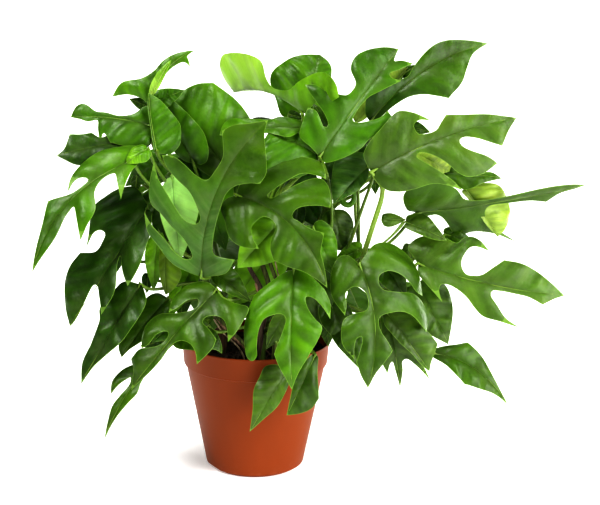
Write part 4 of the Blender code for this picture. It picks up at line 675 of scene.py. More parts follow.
class Shader:
    """A material in the making. Every node comes from node()."""

    def __init__(self, name):
        self.material = bpy.data.materials.new(name)
        self.material.use_nodes = True
        self.tree = self.material.node_tree
        self.surface = self.tree.nodes["Principled BSDF"]

    def node(self, kind, settings=None, sockets=None, output=0):
        made = self.tree.nodes.new(kind)
        for name, value in (settings or {}).items():
            setattr(made, name, value)
        for name, value in (sockets or {}).items():
            self.feed(made.inputs[name], value)
        return Value(self, made.outputs[output])

    def feed(self, socket, value):
        if isinstance(value, Value):
            self.tree.links.new(value.socket, socket)
        else:
            socket.default_value = value

    def set(self, **sockets):
        """Sets or links the surface's sockets, named with _ for a space."""
        for name, value in sockets.items():
            self.feed(self.surface.inputs[name.replace("_", " ")], value)

    def place(self):
        return self.node("ShaderNodeTexCoord", output="Object")

    def painted(self, name, output="Fac"):
        """What the mesh keeps under this name at its points."""
        return self.node("ShaderNodeAttribute", {"attribute_name": name}, output=output)

    def part(self, vector, index):
        return self.node("ShaderNodeSeparateXYZ", {}, {0: vector}, output=index)

    def channel(self, colour, index):
        return self.node("ShaderNodeSeparateColor", {}, {0: colour}, output=index)

    def noise(self, scale, detail=3.0, roughness=0.55, vector=None):
        sockets = {"Vector": vector or self.place(), "Scale": scale, "Detail": detail, "Roughness": roughness}
        return self.node("ShaderNodeTexNoise", {}, sockets)

    def grain(self, scale, detail, stretch):
        """Noise drawn out along Z."""
        sockets = {"Vector": self.place(), "Scale": (1.0, 1.0, stretch)}
        return self.noise(scale, detail, vector=self.node("ShaderNodeMapping", {}, sockets))

    def vein_noise(self, along, side, stretch, detail):
        """Noise drawn out along a leaf's side veins, and different in every leaf."""
        run = self.node("ShaderNodeCombineXYZ", {}, {0: along * stretch[0], 1: side * stretch[1]})
        drift = self.node("ShaderNodeVectorMath", {"operation": "SCALE"}, {0: self.place(), "Scale": DRIFT})
        return self.noise(1.0, detail, vector=self.node("ShaderNodeVectorMath", {}, {0: run, 1: drift}))

    def mix(self, factor, first, second, blend="MIX"):
        settings = {"data_type": "RGBA", "blend_type": blend}
        return self.node("ShaderNodeMix", settings, {0: factor, 6: first, 7: second}, output=2)

    def tinted(self, colour, tint):
        return self.mix(1.0, colour, tint, "MULTIPLY")

    def shaded(self, colour, shade):
        grey = self.node("ShaderNodeCombineColor", {}, {0: shade, 1: shade, 2: shade})
        return self.tinted(colour, grey)

    def share(self, value, low, high, start=0.0, end=1.0):
        """How far the value is from low to high, as a number from start to end that eases in and out."""
        return self.node("ShaderNodeMapRange", {"interpolation_type": "SMOOTHSTEP"},
                         {0: value, 1: low, 2: high, 3: start, 4: end})

    def bump(self, height, distance, strength=1.0, under=None):
        sockets = {"Height": height, "Distance": distance, "Strength": strength}
        if under:
            sockets["Normal"] = under
        return self.node("ShaderNodeBump", {}, sockets)


def rgba(colour, gain=1.0):
    return np.array((*(min(1.0, channel * gain) for channel in colour), 1.0))


def leaf_material(name, settings, under):
    """Satin leaf green from the blade's own colour, with a pale margin, soft side veins, and painted shade,
    light and sheen laid over it. The underside is paler and duller."""
    shader = Shader(name)
    colour = shader.painted("leaf_colour", "Color")
    place = shader.node("ShaderNodeUVMap", {"uv_map": "leaf"})
    side = abs(shader.part(place, 1) - MIDRIB_V)
    along = shader.part(place, 0) - side * VEIN_LEAN
    wave = (along * (2 * math.pi / VEIN_SPACING)).cosine() * shader.share(side, *OFF_RIB)
    dapple = shader.noise(settings.dapple_scale, 4.0)
    streaks = shader.vein_noise(along, side, *STREAKS)
    hairs = shader.vein_noise(along, side, *HAIRS)
    shader.set(Base_Color=leaf_green(shader, settings, colour, wave, side, streaks, hairs, under))
    rough = settings.underside_roughness if under else settings.face_roughness
    shader.set(Roughness=dapple * DAPPLE_ROUGH + (rough - DAPPLE_ROUGH / 2))
    dents = streaks + shader.noise(settings.uneven_scale, 2.0) * DENT_SHARE
    uneven = shader.bump(dents * shader.painted("size"), settings.streak_relief)
    veins = shader.bump(wave, settings.vein_relief, under=uneven)
    shader.set(Normal=shader.bump(dapple, settings.dapple_relief, 0.5, veins))
    shader.set(Specular_IOR_Level=UNDERSIDE_GLOSS if under else FACE_GLOSS)
    shader.set(Subsurface_Weight=settings.translucency, Subsurface_Scale=LEAF_DEPTH)
    shader.set(Subsurface_Radius=LEAF_SCATTER)
    return shader.material


def leaf_green(shader, settings, colour, wave, side, streaks, hairs, under):
    """The blade's colour, with its patches of tone and painted shade, painted light on its streaks, fine
    hairs, a painted grey sheen beside the midrib, the midrib and the margin laid over it.
    """
    clouds = shader.noise(settings.cloud_scale, 2.0)
    # Patches and vein waves: partly the leaf's own uneven tone, partly painted shade and light on its folds
    tone_and_shade = (shader.share(streaks, *STREAK_TONE_AND_SHADE) + shader.share(clouds, *CLOUD_TONE_AND_SHADE)
             + shader.share(shader.noise(*MOTTLE), *MOTTLE_TONE))
    calm = shader.share(shader.channel(colour, 1), *CALM_WHEN_GREEN)
    green = shader.shaded(colour, MEAN_TONE + (tone_and_shade + wave * VEIN_PAINTED_SHADE) * calm)
    # Painted light: brighter, yellower streaks off the midrib
    painted_light = shader.share(streaks, *PAINTED_LIGHT_STREAKS) * shader.share(side, *OFF_RIB) * calm
    green = shader.mix(painted_light, green, shader.tinted(colour, PAINTED_LIGHT_TINT))
    hairy = shader.share(shader.channel(colour, 2), *HAIRY_WHEN_BLUE) * calm
    pale, dark = rgba(settings.bloom_and_sheen_colour, HAIR_GAIN[0]), rgba(settings.deep_and_shaded, HAIR_GAIN[1])
    green = shader.mix(shader.share(hairs, *PALE_HAIRS) * hairy, green, pale)
    green = shader.mix(shader.share(hairs, *DARK_HAIRS) * hairy, green, dark)
    # Painted grey sheen beside the midrib
    painted_sheen = shader.share(side, *PAINTED_SHEEN_BY_RIB) * shader.share(shader.noise(*HAZE), *PAINTED_SHEEN_PATCHES)
    green = shader.mix(painted_sheen, green, rgba(settings.bloom_and_sheen_colour))
    green = shader.mix(shader.share(side, *RIB_LINE), green, rgba(settings.rib_colour))
    margin = shader.share(shader.painted("edge"), *MARGIN_LINE)
    green = shader.mix(margin, green, rgba(settings.margin_colour))
    return shader.mix(UNDERSIDE_BLOOM, green, rgba(settings.underside_colour)) if under else green


def stalk_material(name, settings):
    """Smooth green stalk with fine lengthwise streaks."""
    shader = Shader(name)
    streaks = shader.grain(*STALK_GRAIN)
    shader.set(Base_Color=shader.shaded(shader.painted("stalk_colour", "Color"), streaks.ranged(*STALK_TONE)))
    shader.set(Roughness=streaks.ranged(*STALK_ROUGHNESS), Specular_IOR_Level=STALK_GLOSS)
    shader.set(Normal=shader.bump(streaks, *STALK_RELIEF))
    shader.set(Subsurface_Weight=settings.translucency, Subsurface_Scale=STALK_DEPTH)
    return shader.material


def plastic_material(name, settings):
    """Satin moulded plastic, a little uneven in tone and gloss, scuffed near its foot."""
    shader = Shader(name)
    clouds = shader.noise(*PLASTIC_CLOUDS)
    flow = shader.grain(*PLASTIC_FLOW)
    low = shader.share(shader.part(shader.place(), 2), *SCUFF_HEIGHT)
    scuff = low * shader.share(shader.noise(*SCUFF_NOISE), *SCUFF_PATCHES)
    dark, light = (rgba(settings.plastic_colour, gain) for gain in PLASTIC_GAINS)
    base = shader.mix(clouds * PLASTIC_TONE[0] + flow * PLASTIC_TONE[1], dark, light)
    shader.set(Base_Color=shader.mix(scuff * SCUFF_SHARE, base, rgba(settings.scuff_colour)))
    by_cloud, by_flow, by_scuff = PLASTIC_UNEVEN
    shader.set(Roughness=settings.plastic_roughness + clouds * by_cloud + flow * by_flow + scuff * by_scuff)
    wavy = shader.bump(clouds, *PLASTIC_WAVES)
    shader.set(Normal=shader.bump(shader.noise(*PLASTIC_SPECKLE), *PLASTIC_RELIEF, wavy))
    shader.set(Specular_IOR_Level=PLASTIC_GLOSS)
    return shader.material


def soil_material(name, settings):
    """Moist dark compost with paler fibres."""
    shader = Shader(name)
    clods = shader.noise(*CLOD_NOISE)
    fibres = shader.share(shader.noise(*FIBRE_NOISE), *FIBRE_PATCHES)
    wet, dry = (rgba(settings.soil_colour, gain) for gain in SOIL_GAINS)
    base = shader.mix(shader.share(clods, *CLOD_PATCHES), wet, dry)
    shader.set(Base_Color=shader.mix(fibres * FIBRE_SHARE, base, rgba(settings.fibre_colour)))
    shader.set(Roughness=clods.ranged(*SOIL_ROUGHNESS))
    shader.set(Normal=shader.bump(clods, *CLOD_RELIEF), Specular_IOR_Level=SOIL_GLOSS)
    return shader.material


def papery_material(name, settings):
    """Dry fibrous stalk or sheath, streaked along its length."""
    shader = Shader(name)
    colour = shader.painted("stalk_colour", "Color")
    streaks = shader.grain(*SHEATH_GRAIN)
    dark, light = (shader.tinted(colour, tint) for tint in SHEATH_TINTS)
    base = shader.mix(shader.share(streaks, *SHEATH_PATCHES), dark, light)
    blotch = shader.share(shader.noise(*BLOTCH_NOISE), *BLOTCH_PATCHES)
    base = shader.mix(blotch * BLOTCH_SHARE, base, rgba(settings.fibre_colour))
    shader.set(Base_Color=base, Roughness=streaks.ranged(*SHEATH_ROUGHNESS))
    shader.set(Normal=shader.bump(streaks, *SHEATH_RELIEF))
    return shader.material


def floor_material(name, settings):
    """Matt pale studio floor, faintly uneven, that glows as if lit from beneath."""
    shader = Shader(name)
    shade = shader.noise(*FLOOR_NOISE) * FLOOR_MOTTLE
    tone = [channel - FLOOR_MOTTLE / 2 + shade for channel in settings.floor_colour]
    shader.set(Base_Color=shader.node("ShaderNodeCombineColor", {}, dict(enumerate(tone))))
    shader.set(Roughness=FLOOR_ROUGHNESS, Specular_IOR_Level=FLOOR_GLOSS)
    shader.set(Emission_Color=rgba(settings.floor_colour), Emission_Strength=settings.floor_glow)
    return shader.material


def deselect():
    if bpy.context.object and bpy.context.object.mode != "OBJECT":
        bpy.ops.object.mode_set(mode="OBJECT")
    bpy.ops.object.select_all(action="DESELECT")


def pick(*objects):
    """Selects only these, with the first one active."""
    deselect()
    for obj in objects:
        obj.select_set(True)
    bpy.context.view_layer.objects.active = objects[0]
    return objects[0]


def joined(name, objects):
    first = pick(*objects)
    if len(objects) > 1:
        bpy.ops.object.join()
    first.name = name
    first.data.name = name
    return first


def apply_all(obj):
    pick(obj)
    for modifier in list(obj.modifiers):
        bpy.ops.object.modifier_apply(modifier=modifier.name)


def settled(obj):
    """Puts the object's place into its mesh."""
    pick(obj)
    bpy.ops.object.transform_apply(location=True, rotation=True, scale=True)
    return obj


def new_mesh(name, points, faces):
    """A mesh object from points in millimetres."""
    mesh = bpy.data.meshes.new(name)
    mesh.from_pydata((np.asarray(points) * MM).tolist(), [], faces)
    obj = bpy.data.objects.new(name, mesh)
    bpy.context.collection.objects.link(obj)
    return obj


def keep_values(obj, name, values):
    """Keeps a number or a colour at every point of a mesh, for its material."""
    kind, key = ("FLOAT_COLOR", "color") if values.ndim == 2 else ("FLOAT", "value")
    obj.data.attributes.new(name, kind, "POINT").data.foreach_set(key, values.ravel())


def paint(obj, colour):
    keep_values(obj, "stalk_colour", np.tile(rgba(colour), (len(obj.data.vertices), 1)))


def thicken(obj, thickness, back=0):
    """Gives a sheet its thickness, half to each side. back is the place of its back's and rim's material."""
    thick = obj.modifiers.new("thickness", "SOLIDIFY")
    thick.thickness = thickness * MM
    thick.offset = 0.0
    thick.material_offset = back
    thick.material_offset_rim = back
    apply_all(obj)


def dress(obj, *materials):
    obj.data.materials.clear()
    for material in materials:
        obj.data.materials.append(material)


def finish_piece(obj, slot, *nodes, angle=SMOOTH_ANGLE):
    """Smooths a piece, gives it its body, and hides the nodes that it stands for. The slot is not used."""
    pick(obj)
    bpy.ops.object.shade_smooth_by_angle(angle=math.radians(angle))
    if nodes:
        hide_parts(*nodes)
    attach(obj, "root")


def facing(azimuth, elevation):
    a, e = math.radians(azimuth), math.radians(elevation)
    return np.array([math.sin(a) * math.cos(e), -math.cos(a) * math.cos(e), math.sin(e)])


def blade_surface(row, u, v):
    """Points in millimetres, and normals, of a bent leaf at its own coordinates: u along the midrib, v out to
    the right of it, in leaf lengths. The midrib is a parabola, each half is folded up at it and curls down as
    an arc, and the margins ripple."""
    u, v = np.asarray(u, float), np.asarray(v, float)
    base, tip = np.array(row["base"], float), np.array(row["tip"], float)
    chord = tip - base
    length = np.linalg.norm(chord)
    along = chord / length
    face = facing(*row["face"])
    face = face - face @ along * along
    face /= np.linalg.norm(face)
    across = np.cross(along, face)
    arch = (face * row["bow"] + across * row["sweep"]) * length
    ahead = np.clip(u, 0.0, None)
    middle = base + np.outer(u, chord) + np.outer(4 * ahead * (1 - ahead) + np.where(u < 0, 4 * u, 0.0), arch)
    tangent = chord + np.outer(4 - 8 * ahead, arch)
    tangent /= np.linalg.norm(tangent, axis=1)[:, None]
    normal = face - (tangent @ face)[:, None] * tangent
    normal /= np.linalg.norm(normal, axis=1)[:, None]
    side = np.cross(tangent, normal)
    fold = np.radians(np.where(v > 0, row["fold"][1], row["fold"][0]))
    bend = math.radians(row["curl"]) / CURL_HALF_WIDTH
    width = np.abs(v)
    out = (np.sin(fold) - np.sin(fold - bend * width)) / bend
    up = (np.cos(fold - bend * width) - np.cos(fold)) / bend
    turns = 2 * math.pi * (RIPPLE_WAVES * u + RIPPLE_PHASE * (base[0] + 2 * base[2]))
    up = up + RIPPLE * np.sin(turns + np.where(v > 0, 1.0, -1.0)) * (width / RIPPLE_WIDTH) ** 2
    points = middle + side * (np.sign(v) * out * length)[:, None] + normal * (up * length)[:, None]
    return points, normal


def leaf_length(row):
    return float(np.linalg.norm(np.array(row["tip"], float) - np.array(row["base"], float)))


def relief(row, u, v, edge, settings):
    """How far a blade stands off its smooth surface, in millimetres: the midrib is a groove in a broad
    valley, the margins turn down, and the whole skin swells slowly between the side veins."""
    side, length = np.abs(v), leaf_length(row)
    fade = np.clip((1.0 - u) / MIDRIB_FADE, 0.0, 1.0)
    groove = np.exp(-(side * length / MIDRIB_HALF_WIDTH) ** 2) * fade
    valley = np.exp(-side * length / VALLEY_REACH) * fade * min(1.0, length / FULL_LENGTH)
    turned = np.exp(-edge / MARGIN_REACH)
    phase = SWELL_PHASE[0] * row["base"][0] + SWELL_PHASE[1] * row["base"][2]
    wander = WANDER_REACH * np.sin(WANDER_RATE * SWELL_TURNS * side * length)
    slant = u - VEIN_LEAN * side
    slow = np.sin(SWELL_TURNS * slant * length + np.where(v > 0, phase, 2.0 - phase) + wander)
    wave = np.cos(math.pi * slant / VEIN_SPACING) * np.clip(side / VEIN_START, 0.0, 1.0)
    swell = slow * np.clip(side / SWELL_START, 0.0, 1.0) * np.clip(edge / MARGIN_REACH, 0.0, 1.0)
    lift = settings.vein_relief * wave + settings.swell * swell
    drop = settings.midrib_groove * groove + settings.valley * valley + settings.margin_droop * turned
    return (lift - drop) / MM


def smooth_run(points, step):
    """Points of a Catmull-Rom curve through these, about a step apart, without the last one."""
    ends = [2 * points[0] - points[1], *points, 2 * points[-1] - points[-2]]
    run = []
    for i in range(len(points) - 1):
        a, b, c, d = ends[i:i + 4]
        pieces = max(1, round(float(np.linalg.norm(c - b)) / step))
        for k in range(pieces):
            t = k / pieces
            run.append(0.5 * (2 * b + (c - a) * t + (2 * a - 5 * b + 4 * c - d) * t * t
                              + (3 * b - a - 3 * c + d) * t ** 3))
    return run


def smooth_line(places, step):
    """The same curve with its last point."""
    points = [np.array(place, float) for place in places]
    return [*smooth_run(points, step), points[-1]]


def side_outline(side, step):
    """One side of a leaf from its base to its tip, without the tip, in leaf lengths: curves that break at the
    sharp points."""
    outline, run = [], []
    for row in ((0, 0, TIP), *side, (LEAF_PARTS, 0, TIP)):
        run.append(np.array(row[:2], float) / LEAF_PARTS)
        if len(run) > 1 and len(row) == 3:
            outline += smooth_run(run, step)
            run = run[-1:]
    return outline


def leaf_outline(row, step):
    left = [p * (1, -1) for p in side_outline(row["left"], step)]
    return np.array([*side_outline(row["right"], step), (1.0, 0.0), *reversed(left[1:])])


def inside(points, outline):
    ends = np.roll(outline, -1, axis=0)
    x, y = points[:, :1], points[:, 1:]
    spans = (outline[:, 1] > y) != (ends[:, 1] > y)
    rise = ends[:, 1] - outline[:, 1]
    slope = (ends[:, 0] - outline[:, 0]) / np.where(rise == 0.0, 1.0, rise)
    return (spans & (x < outline[:, 0] + slope * (y - outline[:, 1]))).sum(axis=1) % 2 == 1


def distance_to(points, outline):
    way = np.roll(outline, -1, axis=0) - outline
    reach = np.maximum((way ** 2).sum(axis=1), 1e-12)
    share = np.clip(((points[:, None] - outline) * way).sum(axis=2) / reach, 0.0, 1.0)
    return np.linalg.norm(points[:, None] - outline - way * share[..., None], axis=2).min(axis=1)


def filling_points(outline):
    """Places inside a leaf's outline: close rows beside the midrib, then a staggered grid."""
    ribs = [(u, sign * v) for v in MIDRIB_ROWS for sign in ((1, -1) if v else (1,))
            for u in np.arange(MIDRIB_STEP, 1.0, MIDRIB_STEP)]
    low, high = outline.min(axis=0), outline.max(axis=0)
    grid = []
    for row, v in enumerate(np.arange(low[1], high[1], GRID_ROW)):
        if abs(v) > CLEAR_OF_RIB:
            grid += [(u, v) for u in np.arange(low[0] + GRID_STEP / 2 * (row % 2), high[0], GRID_STEP)]
    places = np.array(ribs + grid)
    places = places[inside(places, outline)]
    return places[distance_to(places, outline) > CLEAR_OF_EDGE]


def blade_object(name, row, settings):
    """A leaf's outline filled with triangles, bent, and given its veins."""
    outline = leaf_outline(row, OUTLINE_STEP)
    flat = [Vector(p) for p in (*outline, *filling_points(outline))]
    points, _, faces, *_ = delaunay_2d_cdt(flat, [], [list(range(len(outline)))], 1, 1e-6)
    uv = np.array([tuple(p) for p in points])
    edge = distance_to(uv, outline) * leaf_length(row)
    bent, normal = blade_surface(row, uv[:, 0], uv[:, 1])
    bent = bent + normal * relief(row, uv[:, 0], uv[:, 1], edge, settings)[:, None]
    obj = new_mesh(name, bent, [face[::-1] for face in faces])
    corners = np.array([loop.vertex_index for loop in obj.data.loops])
    obj.data.uv_layers.new(name="leaf").data.foreach_set("uv", (uv[corners] + (0.0, MIDRIB_V)).ravel())
    keep_values(obj, "edge", np.minimum(edge, EDGE_REACH))
    keep_values(obj, "size", np.full(len(uv), min(1.0, leaf_length(row) / FULL_LENGTH)))
    start, end = TONE_CHANGE
    outer = np.clip((uv[:, :1] - start) / (end - start), 0.0, 1.0)
    inner_tone, outer_tone = (rgba(getattr(settings, row[part])) for part in ("tone", "tip_tone"))
    keep_values(obj, "leaf_colour", (1.0 - outer) * inner_tone + outer * outer_tone)
    return obj


def bezier(a, b, c, d, count):
    return [a * (1 - t) ** 3 + 3 * b * t * (1 - t) ** 2 + 3 * c * t * t * (1 - t) + d * t ** 3
            for t in (i / count for i in range(count + 1))]


def along_stem(stem, share):
    """The point of the stem's part above the soil, at this share of its height."""
    points = [np.array(p, float) for p in stem[1:]]
    place = share * (len(points) - 1)
    i = min(int(place), len(points) - 2)
    return points[i] + (points[i + 1] - points[i]) * (place - i)


def petiole_path(shoot, row, settings):
    """From inside the stem, up to the leaf's base, then on under its midrib, with the radii."""
    start = along_stem(shoot["stem"], row["root"])
    base, normal = (rows[0] for rows in blade_surface(row, [0.0], [0.0]))
    under = base - normal * (PETIOLE_END_RADIUS + PETIOLE_GAP)
    if row["via"]:
        via = [np.array(place, float) for place in row["via"]]
        if len(via) > 1:
            before = via[0] + (via[0] - via[1]) * STRAIGHT_ON
            after = via[-1] + (via[-1] - via[-2]) * STRAIGHT_ON
            via = [before, *via, after]
        path = relaxed(smooth_line([start, *via, under], VIA_STEP))
    else:
        rise = np.array([0.0, 0.0, 1.0])
        reach = np.linalg.norm(base - start)
        out = start + (base - start) * PETIOLE_OUT + rise * reach * PETIOLE_RISE
        drop = rise * row["lift"] * PETIOLE_LIFT
        back = base - normal * PETIOLE_BACK * reach - drop - (base - start) * PETIOLE_BACK
        path = bezier(start, out, back, under, PETIOLE_STEPS)
    shares = np.linspace(0.0, 1.0, len(path))
    radii = PETIOLE_RADIUS + (PETIOLE_END_RADIUS - PETIOLE_RADIUS) * shares
    radii *= row["stalk"]
    radii *= 1.0 + SHEATH_SWELL * np.clip(1.0 - shares / SHEATH_SHARE, 0.0, 1.0) ** SWELL_POWER
    radii *= 1.0 + JOINT_SWELL * np.exp(-((shares - JOINT_PLACE) / JOINT_REACH) ** 2)
    u = np.linspace(RIB_START, RIB_REACH, RIB_STEPS)
    rib, normal = blade_surface(row, u, u * 0.0)
    rib_radii = RIB_RADIUS - RIB_TAPER * u
    sunk = relief(row, u, u * 0.0, u * 0.0 + EDGE_REACH, settings) - BLADE / 2 - rib_radii * RIB_SUNK
    rib = rib + normal * sunk[:, None]
    return [*path, *rib], [*radii, *rib_radii]


def relaxed(path):
    """The same run of points with its waves taken out, and its ends kept."""
    points = np.array(path)
    for _ in range(RELAX_ROUNDS):
        points[1:-1] = (points[:-2] + 2 * points[1:-1] + points[2:]) / 4
    return list(points)


def tube(name, path, radii, colour, sides=3):
    """A tapered round tube along these points, in millimetres, as a closed mesh of one colour."""
    curve = bpy.data.curves.new(name, "CURVE")
    curve.dimensions = "3D"
    curve.bevel_depth = MM
    curve.bevel_resolution = sides
    curve.use_fill_caps = True
    spline = curve.splines.new("POLY")
    spline.points.add(len(path) - 1)
    for point, place, radius in zip(spline.points, path, radii):
        point.co = (*(np.asarray(place) * MM), 1.0)
        point.radius = radius
    obj = bpy.data.objects.new(name, curve)
    bpy.context.collection.objects.link(obj)
    pick(obj)
    bpy.ops.object.convert(target="MESH")
    obj = bpy.context.object
    bpy.ops.object.mode_set(mode="EDIT")
    bpy.ops.mesh.select_all(action="SELECT")
    bpy.ops.mesh.remove_doubles(threshold=1e-7)
    bpy.ops.mesh.normals_make_consistent(inside=False)
    bpy.ops.object.mode_set(mode="OBJECT")
    paint(obj, colour)
    return obj


def stem_path(shoot):
    """The stem's smooth line and its radii, swollen at each node."""
    soil_part = shoot["stem"][1][2] - shoot["stem"][0][2]
    path = smooth_line(shoot["stem"], STEM_STEP)
    run = np.cumsum([0.0, *(np.linalg.norm(b - a) for a, b in zip(path, path[1:]))])
    above = np.clip((run - soil_part) / (run[-1] - soil_part), 0.0, 1.0)
    radii = STEM_RADIUS + (STEM_TOP_RADIUS - STEM_RADIUS) * above
    off_node = np.abs((run + NODE_SPACING / 2) % NODE_SPACING - NODE_SPACING / 2)
    return path, radii * (BETWEEN_NODES + NODE_SWELL * np.exp(-(off_node / NODE_REACH) ** 2))


def ring_of_pot(profile, sides, name):
    """A ring of points, carried along a profile of (radius, height) by extruding and scaling, and closed."""
    deselect()
    radius, height = profile[0]
    bpy.ops.mesh.primitive_circle_add(vertices=sides, radius=radius * MM, location=(0, 0, height * MM))
    obj = bpy.context.object
    obj.name = name
    bpy.ops.object.mode_set(mode="EDIT")
    bpy.ops.mesh.select_all(action="SELECT")
    for (r0, z0), (r1, z1) in zip(profile, profile[1:]):
        bpy.ops.mesh.extrude_region_move(TRANSFORM_OT_translate={"value": (0, 0, (z1 - z0) * MM)})
        bpy.ops.transform.resize(value=(r1 / r0, r1 / r0, 1.0), center_override=(0, 0, z1 * MM))
    bpy.ops.mesh.select_all(action="SELECT")
    bpy.ops.mesh.fill_holes(sides=0)
    bpy.ops.mesh.select_all(action="SELECT")
    bpy.ops.mesh.normals_make_consistent(inside=False)
    bpy.ops.object.mode_set(mode="OBJECT")
    return settled(obj)


def cut_away(obj, cutters):
    """Cuts these objects out of obj, and removes them."""
    for cutter in cutters:
        boolean = obj.modifiers.new(cutter.name, "BOOLEAN")
        boolean.object = cutter
        boolean.operation = "DIFFERENCE"
    apply_all(obj)
    for cutter in cutters:
        bpy.data.objects.remove(cutter)


def cutting_cylinder(name, sides, radius, depth, place):
    """A cylinder that is to be cut out, moved to its place by a matrix."""
    deselect()
    bpy.ops.mesh.primitive_cylinder_add(vertices=sides, radius=radius * MM, depth=depth * MM)
    obj = bpy.context.object
    obj.name = name
    obj.matrix_world = place
    return obj


def inner_radius(z):
    """The pot's inside at a height."""
    if z >= COLLAR_FOOT:
        share = (z - COLLAR_FOOT) / COLLAR_HEIGHT
        return COLLAR_FOOT_RADIUS + (RIM_RADIUS - COLLAR_FOOT_RADIUS) * share - WALL
    share = (z - TAPER_FOOT) / (COLLAR_FOOT - TAPER_FOOT)
    return TAPER_FOOT_RADIUS + (COLLAR_FOOT_RADIUS - COLLAR_STEP - TAPER_FOOT_RADIUS) * share - WALL


def pot_profile():
    """The pot's section as (radius, height): hub, underside, foot ring, wall, collar and lip, then down the
    inside to the floor. Corners are rounded by short steps."""
    inner_foot = FOOT_RADIUS - FOOT_WALL
    step = COLLAR_FOOT_RADIUS - COLLAR_STEP
    inside = inner_radius(TAPER_FOOT)
    hub = [(HUB_RADIUS - 0.6, 0.0), (HUB_RADIUS, 0.5), (HUB_RADIUS, FLOOR_UNDERSIDE - 0.5),
           (HUB_RADIUS + 0.5, FLOOR_UNDERSIDE)]
    foot = [(inner_foot - 0.5, FLOOR_UNDERSIDE), (inner_foot, FLOOR_UNDERSIDE - 0.5), (inner_foot, 0.4),
            (inner_foot + 0.4, 0.0), (FOOT_RADIUS - 0.6, 0.0), (FOOT_RADIUS - 0.15, 0.3), (FOOT_RADIUS, 0.8),
            (FOOT_RADIUS + 0.4, 2.0), (FOOT_RADIUS + 1.0, 2.3)]
    wall = [(TAPER_FOOT_RADIUS - 3.2, 2.4), (TAPER_FOOT_RADIUS - 2.5, 2.9), (TAPER_FOOT_RADIUS - 2.1, 4.6),
            (TAPER_FOOT_RADIUS - 1.1, 10.0), (TAPER_FOOT_RADIUS, TAPER_FOOT)]
    collar = [(step - 0.1, COLLAR_FOOT - 2.4), (step + 0.5, COLLAR_FOOT - 1.0),
              (COLLAR_FOOT_RADIUS - 0.9, COLLAR_FOOT - 0.2), (COLLAR_FOOT_RADIUS - 0.2, COLLAR_FOOT + 0.1),
              (COLLAR_FOOT_RADIUS + 0.1, COLLAR_FOOT + 0.8)]
    lip = [(RIM_RADIUS - 0.5, POT_HEIGHT - LIP - 0.3), (RIM_RADIUS - 0.3, POT_HEIGHT - LIP + 0.1),
           (RIM_RADIUS - 0.05, POT_HEIGHT - LIP + 0.6), (RIM_RADIUS, POT_HEIGHT - 1.1),
           (RIM_RADIUS - 0.15, POT_HEIGHT - 0.4), (RIM_RADIUS - 0.5, POT_HEIGHT - 0.1),
           (RIM_RADIUS - 0.8, POT_HEIGHT), (RIM_RADIUS - WALL + 0.4, POT_HEIGHT - 0.05),
           (RIM_RADIUS - WALL, POT_HEIGHT - 0.5)]
    return [*hub, *foot, *wall, *collar, *lip, (inner_radius(COLLAR_FOOT), COLLAR_FOOT),
            (inner_radius(COLLAR_FOOT - 2.0), COLLAR_FOOT - 2.0), (inside, TAPER_FOOT),
            (inside - 0.6, FLOOR_TOP + 0.8), (inside - 2.0, FLOOR_TOP), (CAP_RADIUS, FLOOR_TOP)]


def soil_profile():
    """The soil's section: it fills the pot but for a small gap, and its top has many rings for the relief."""
    bottom = FLOOR_TOP + SOIL_GAP
    edge = inner_radius(SOIL_TOP) - SOIL_GAP
    top = [(radius, SOIL_TOP) for radius in np.linspace(edge - 1.5, CAP_RADIUS, SOIL_RINGS)]
    return [(CAP_RADIUS, bottom), (inner_radius(TAPER_FOOT) - 2.0 - SOIL_GAP, bottom),
            *((inner_radius(z) - SOIL_GAP, z) for z in (TAPER_FOOT, COLLAR_FOOT - 2.0, COLLAR_FOOT)),
            (edge, SOIL_TOP - 1.0), *top]


def soil_height(x, y):
    """The soil's uneven top, in millimetres above its mean level."""
    slow = math.sin(0.055 * x + 1.3) * math.cos(0.048 * y - 0.4)
    quick = math.sin(0.16 * x - 0.12 * y) * math.cos(0.19 * y + 0.09 * x + 2.0)
    return SOIL_RELIEF * (0.6 * slow + 0.4 * quick)


def clod_height(x, y):
    """Lumps a few millimetres across, on top of the soil's slow relief."""
    lumps = math.sin(0.83 * x + 0.4 * math.sin(0.5 * y)) * math.sin(0.74 * y + 0.6 * math.sin(0.43 * x))
    return 0.7 * lumps + 0.35 * math.sin(1.9 * x + 1.1 * y) * math.sin(1.7 * y - 0.8 * x)


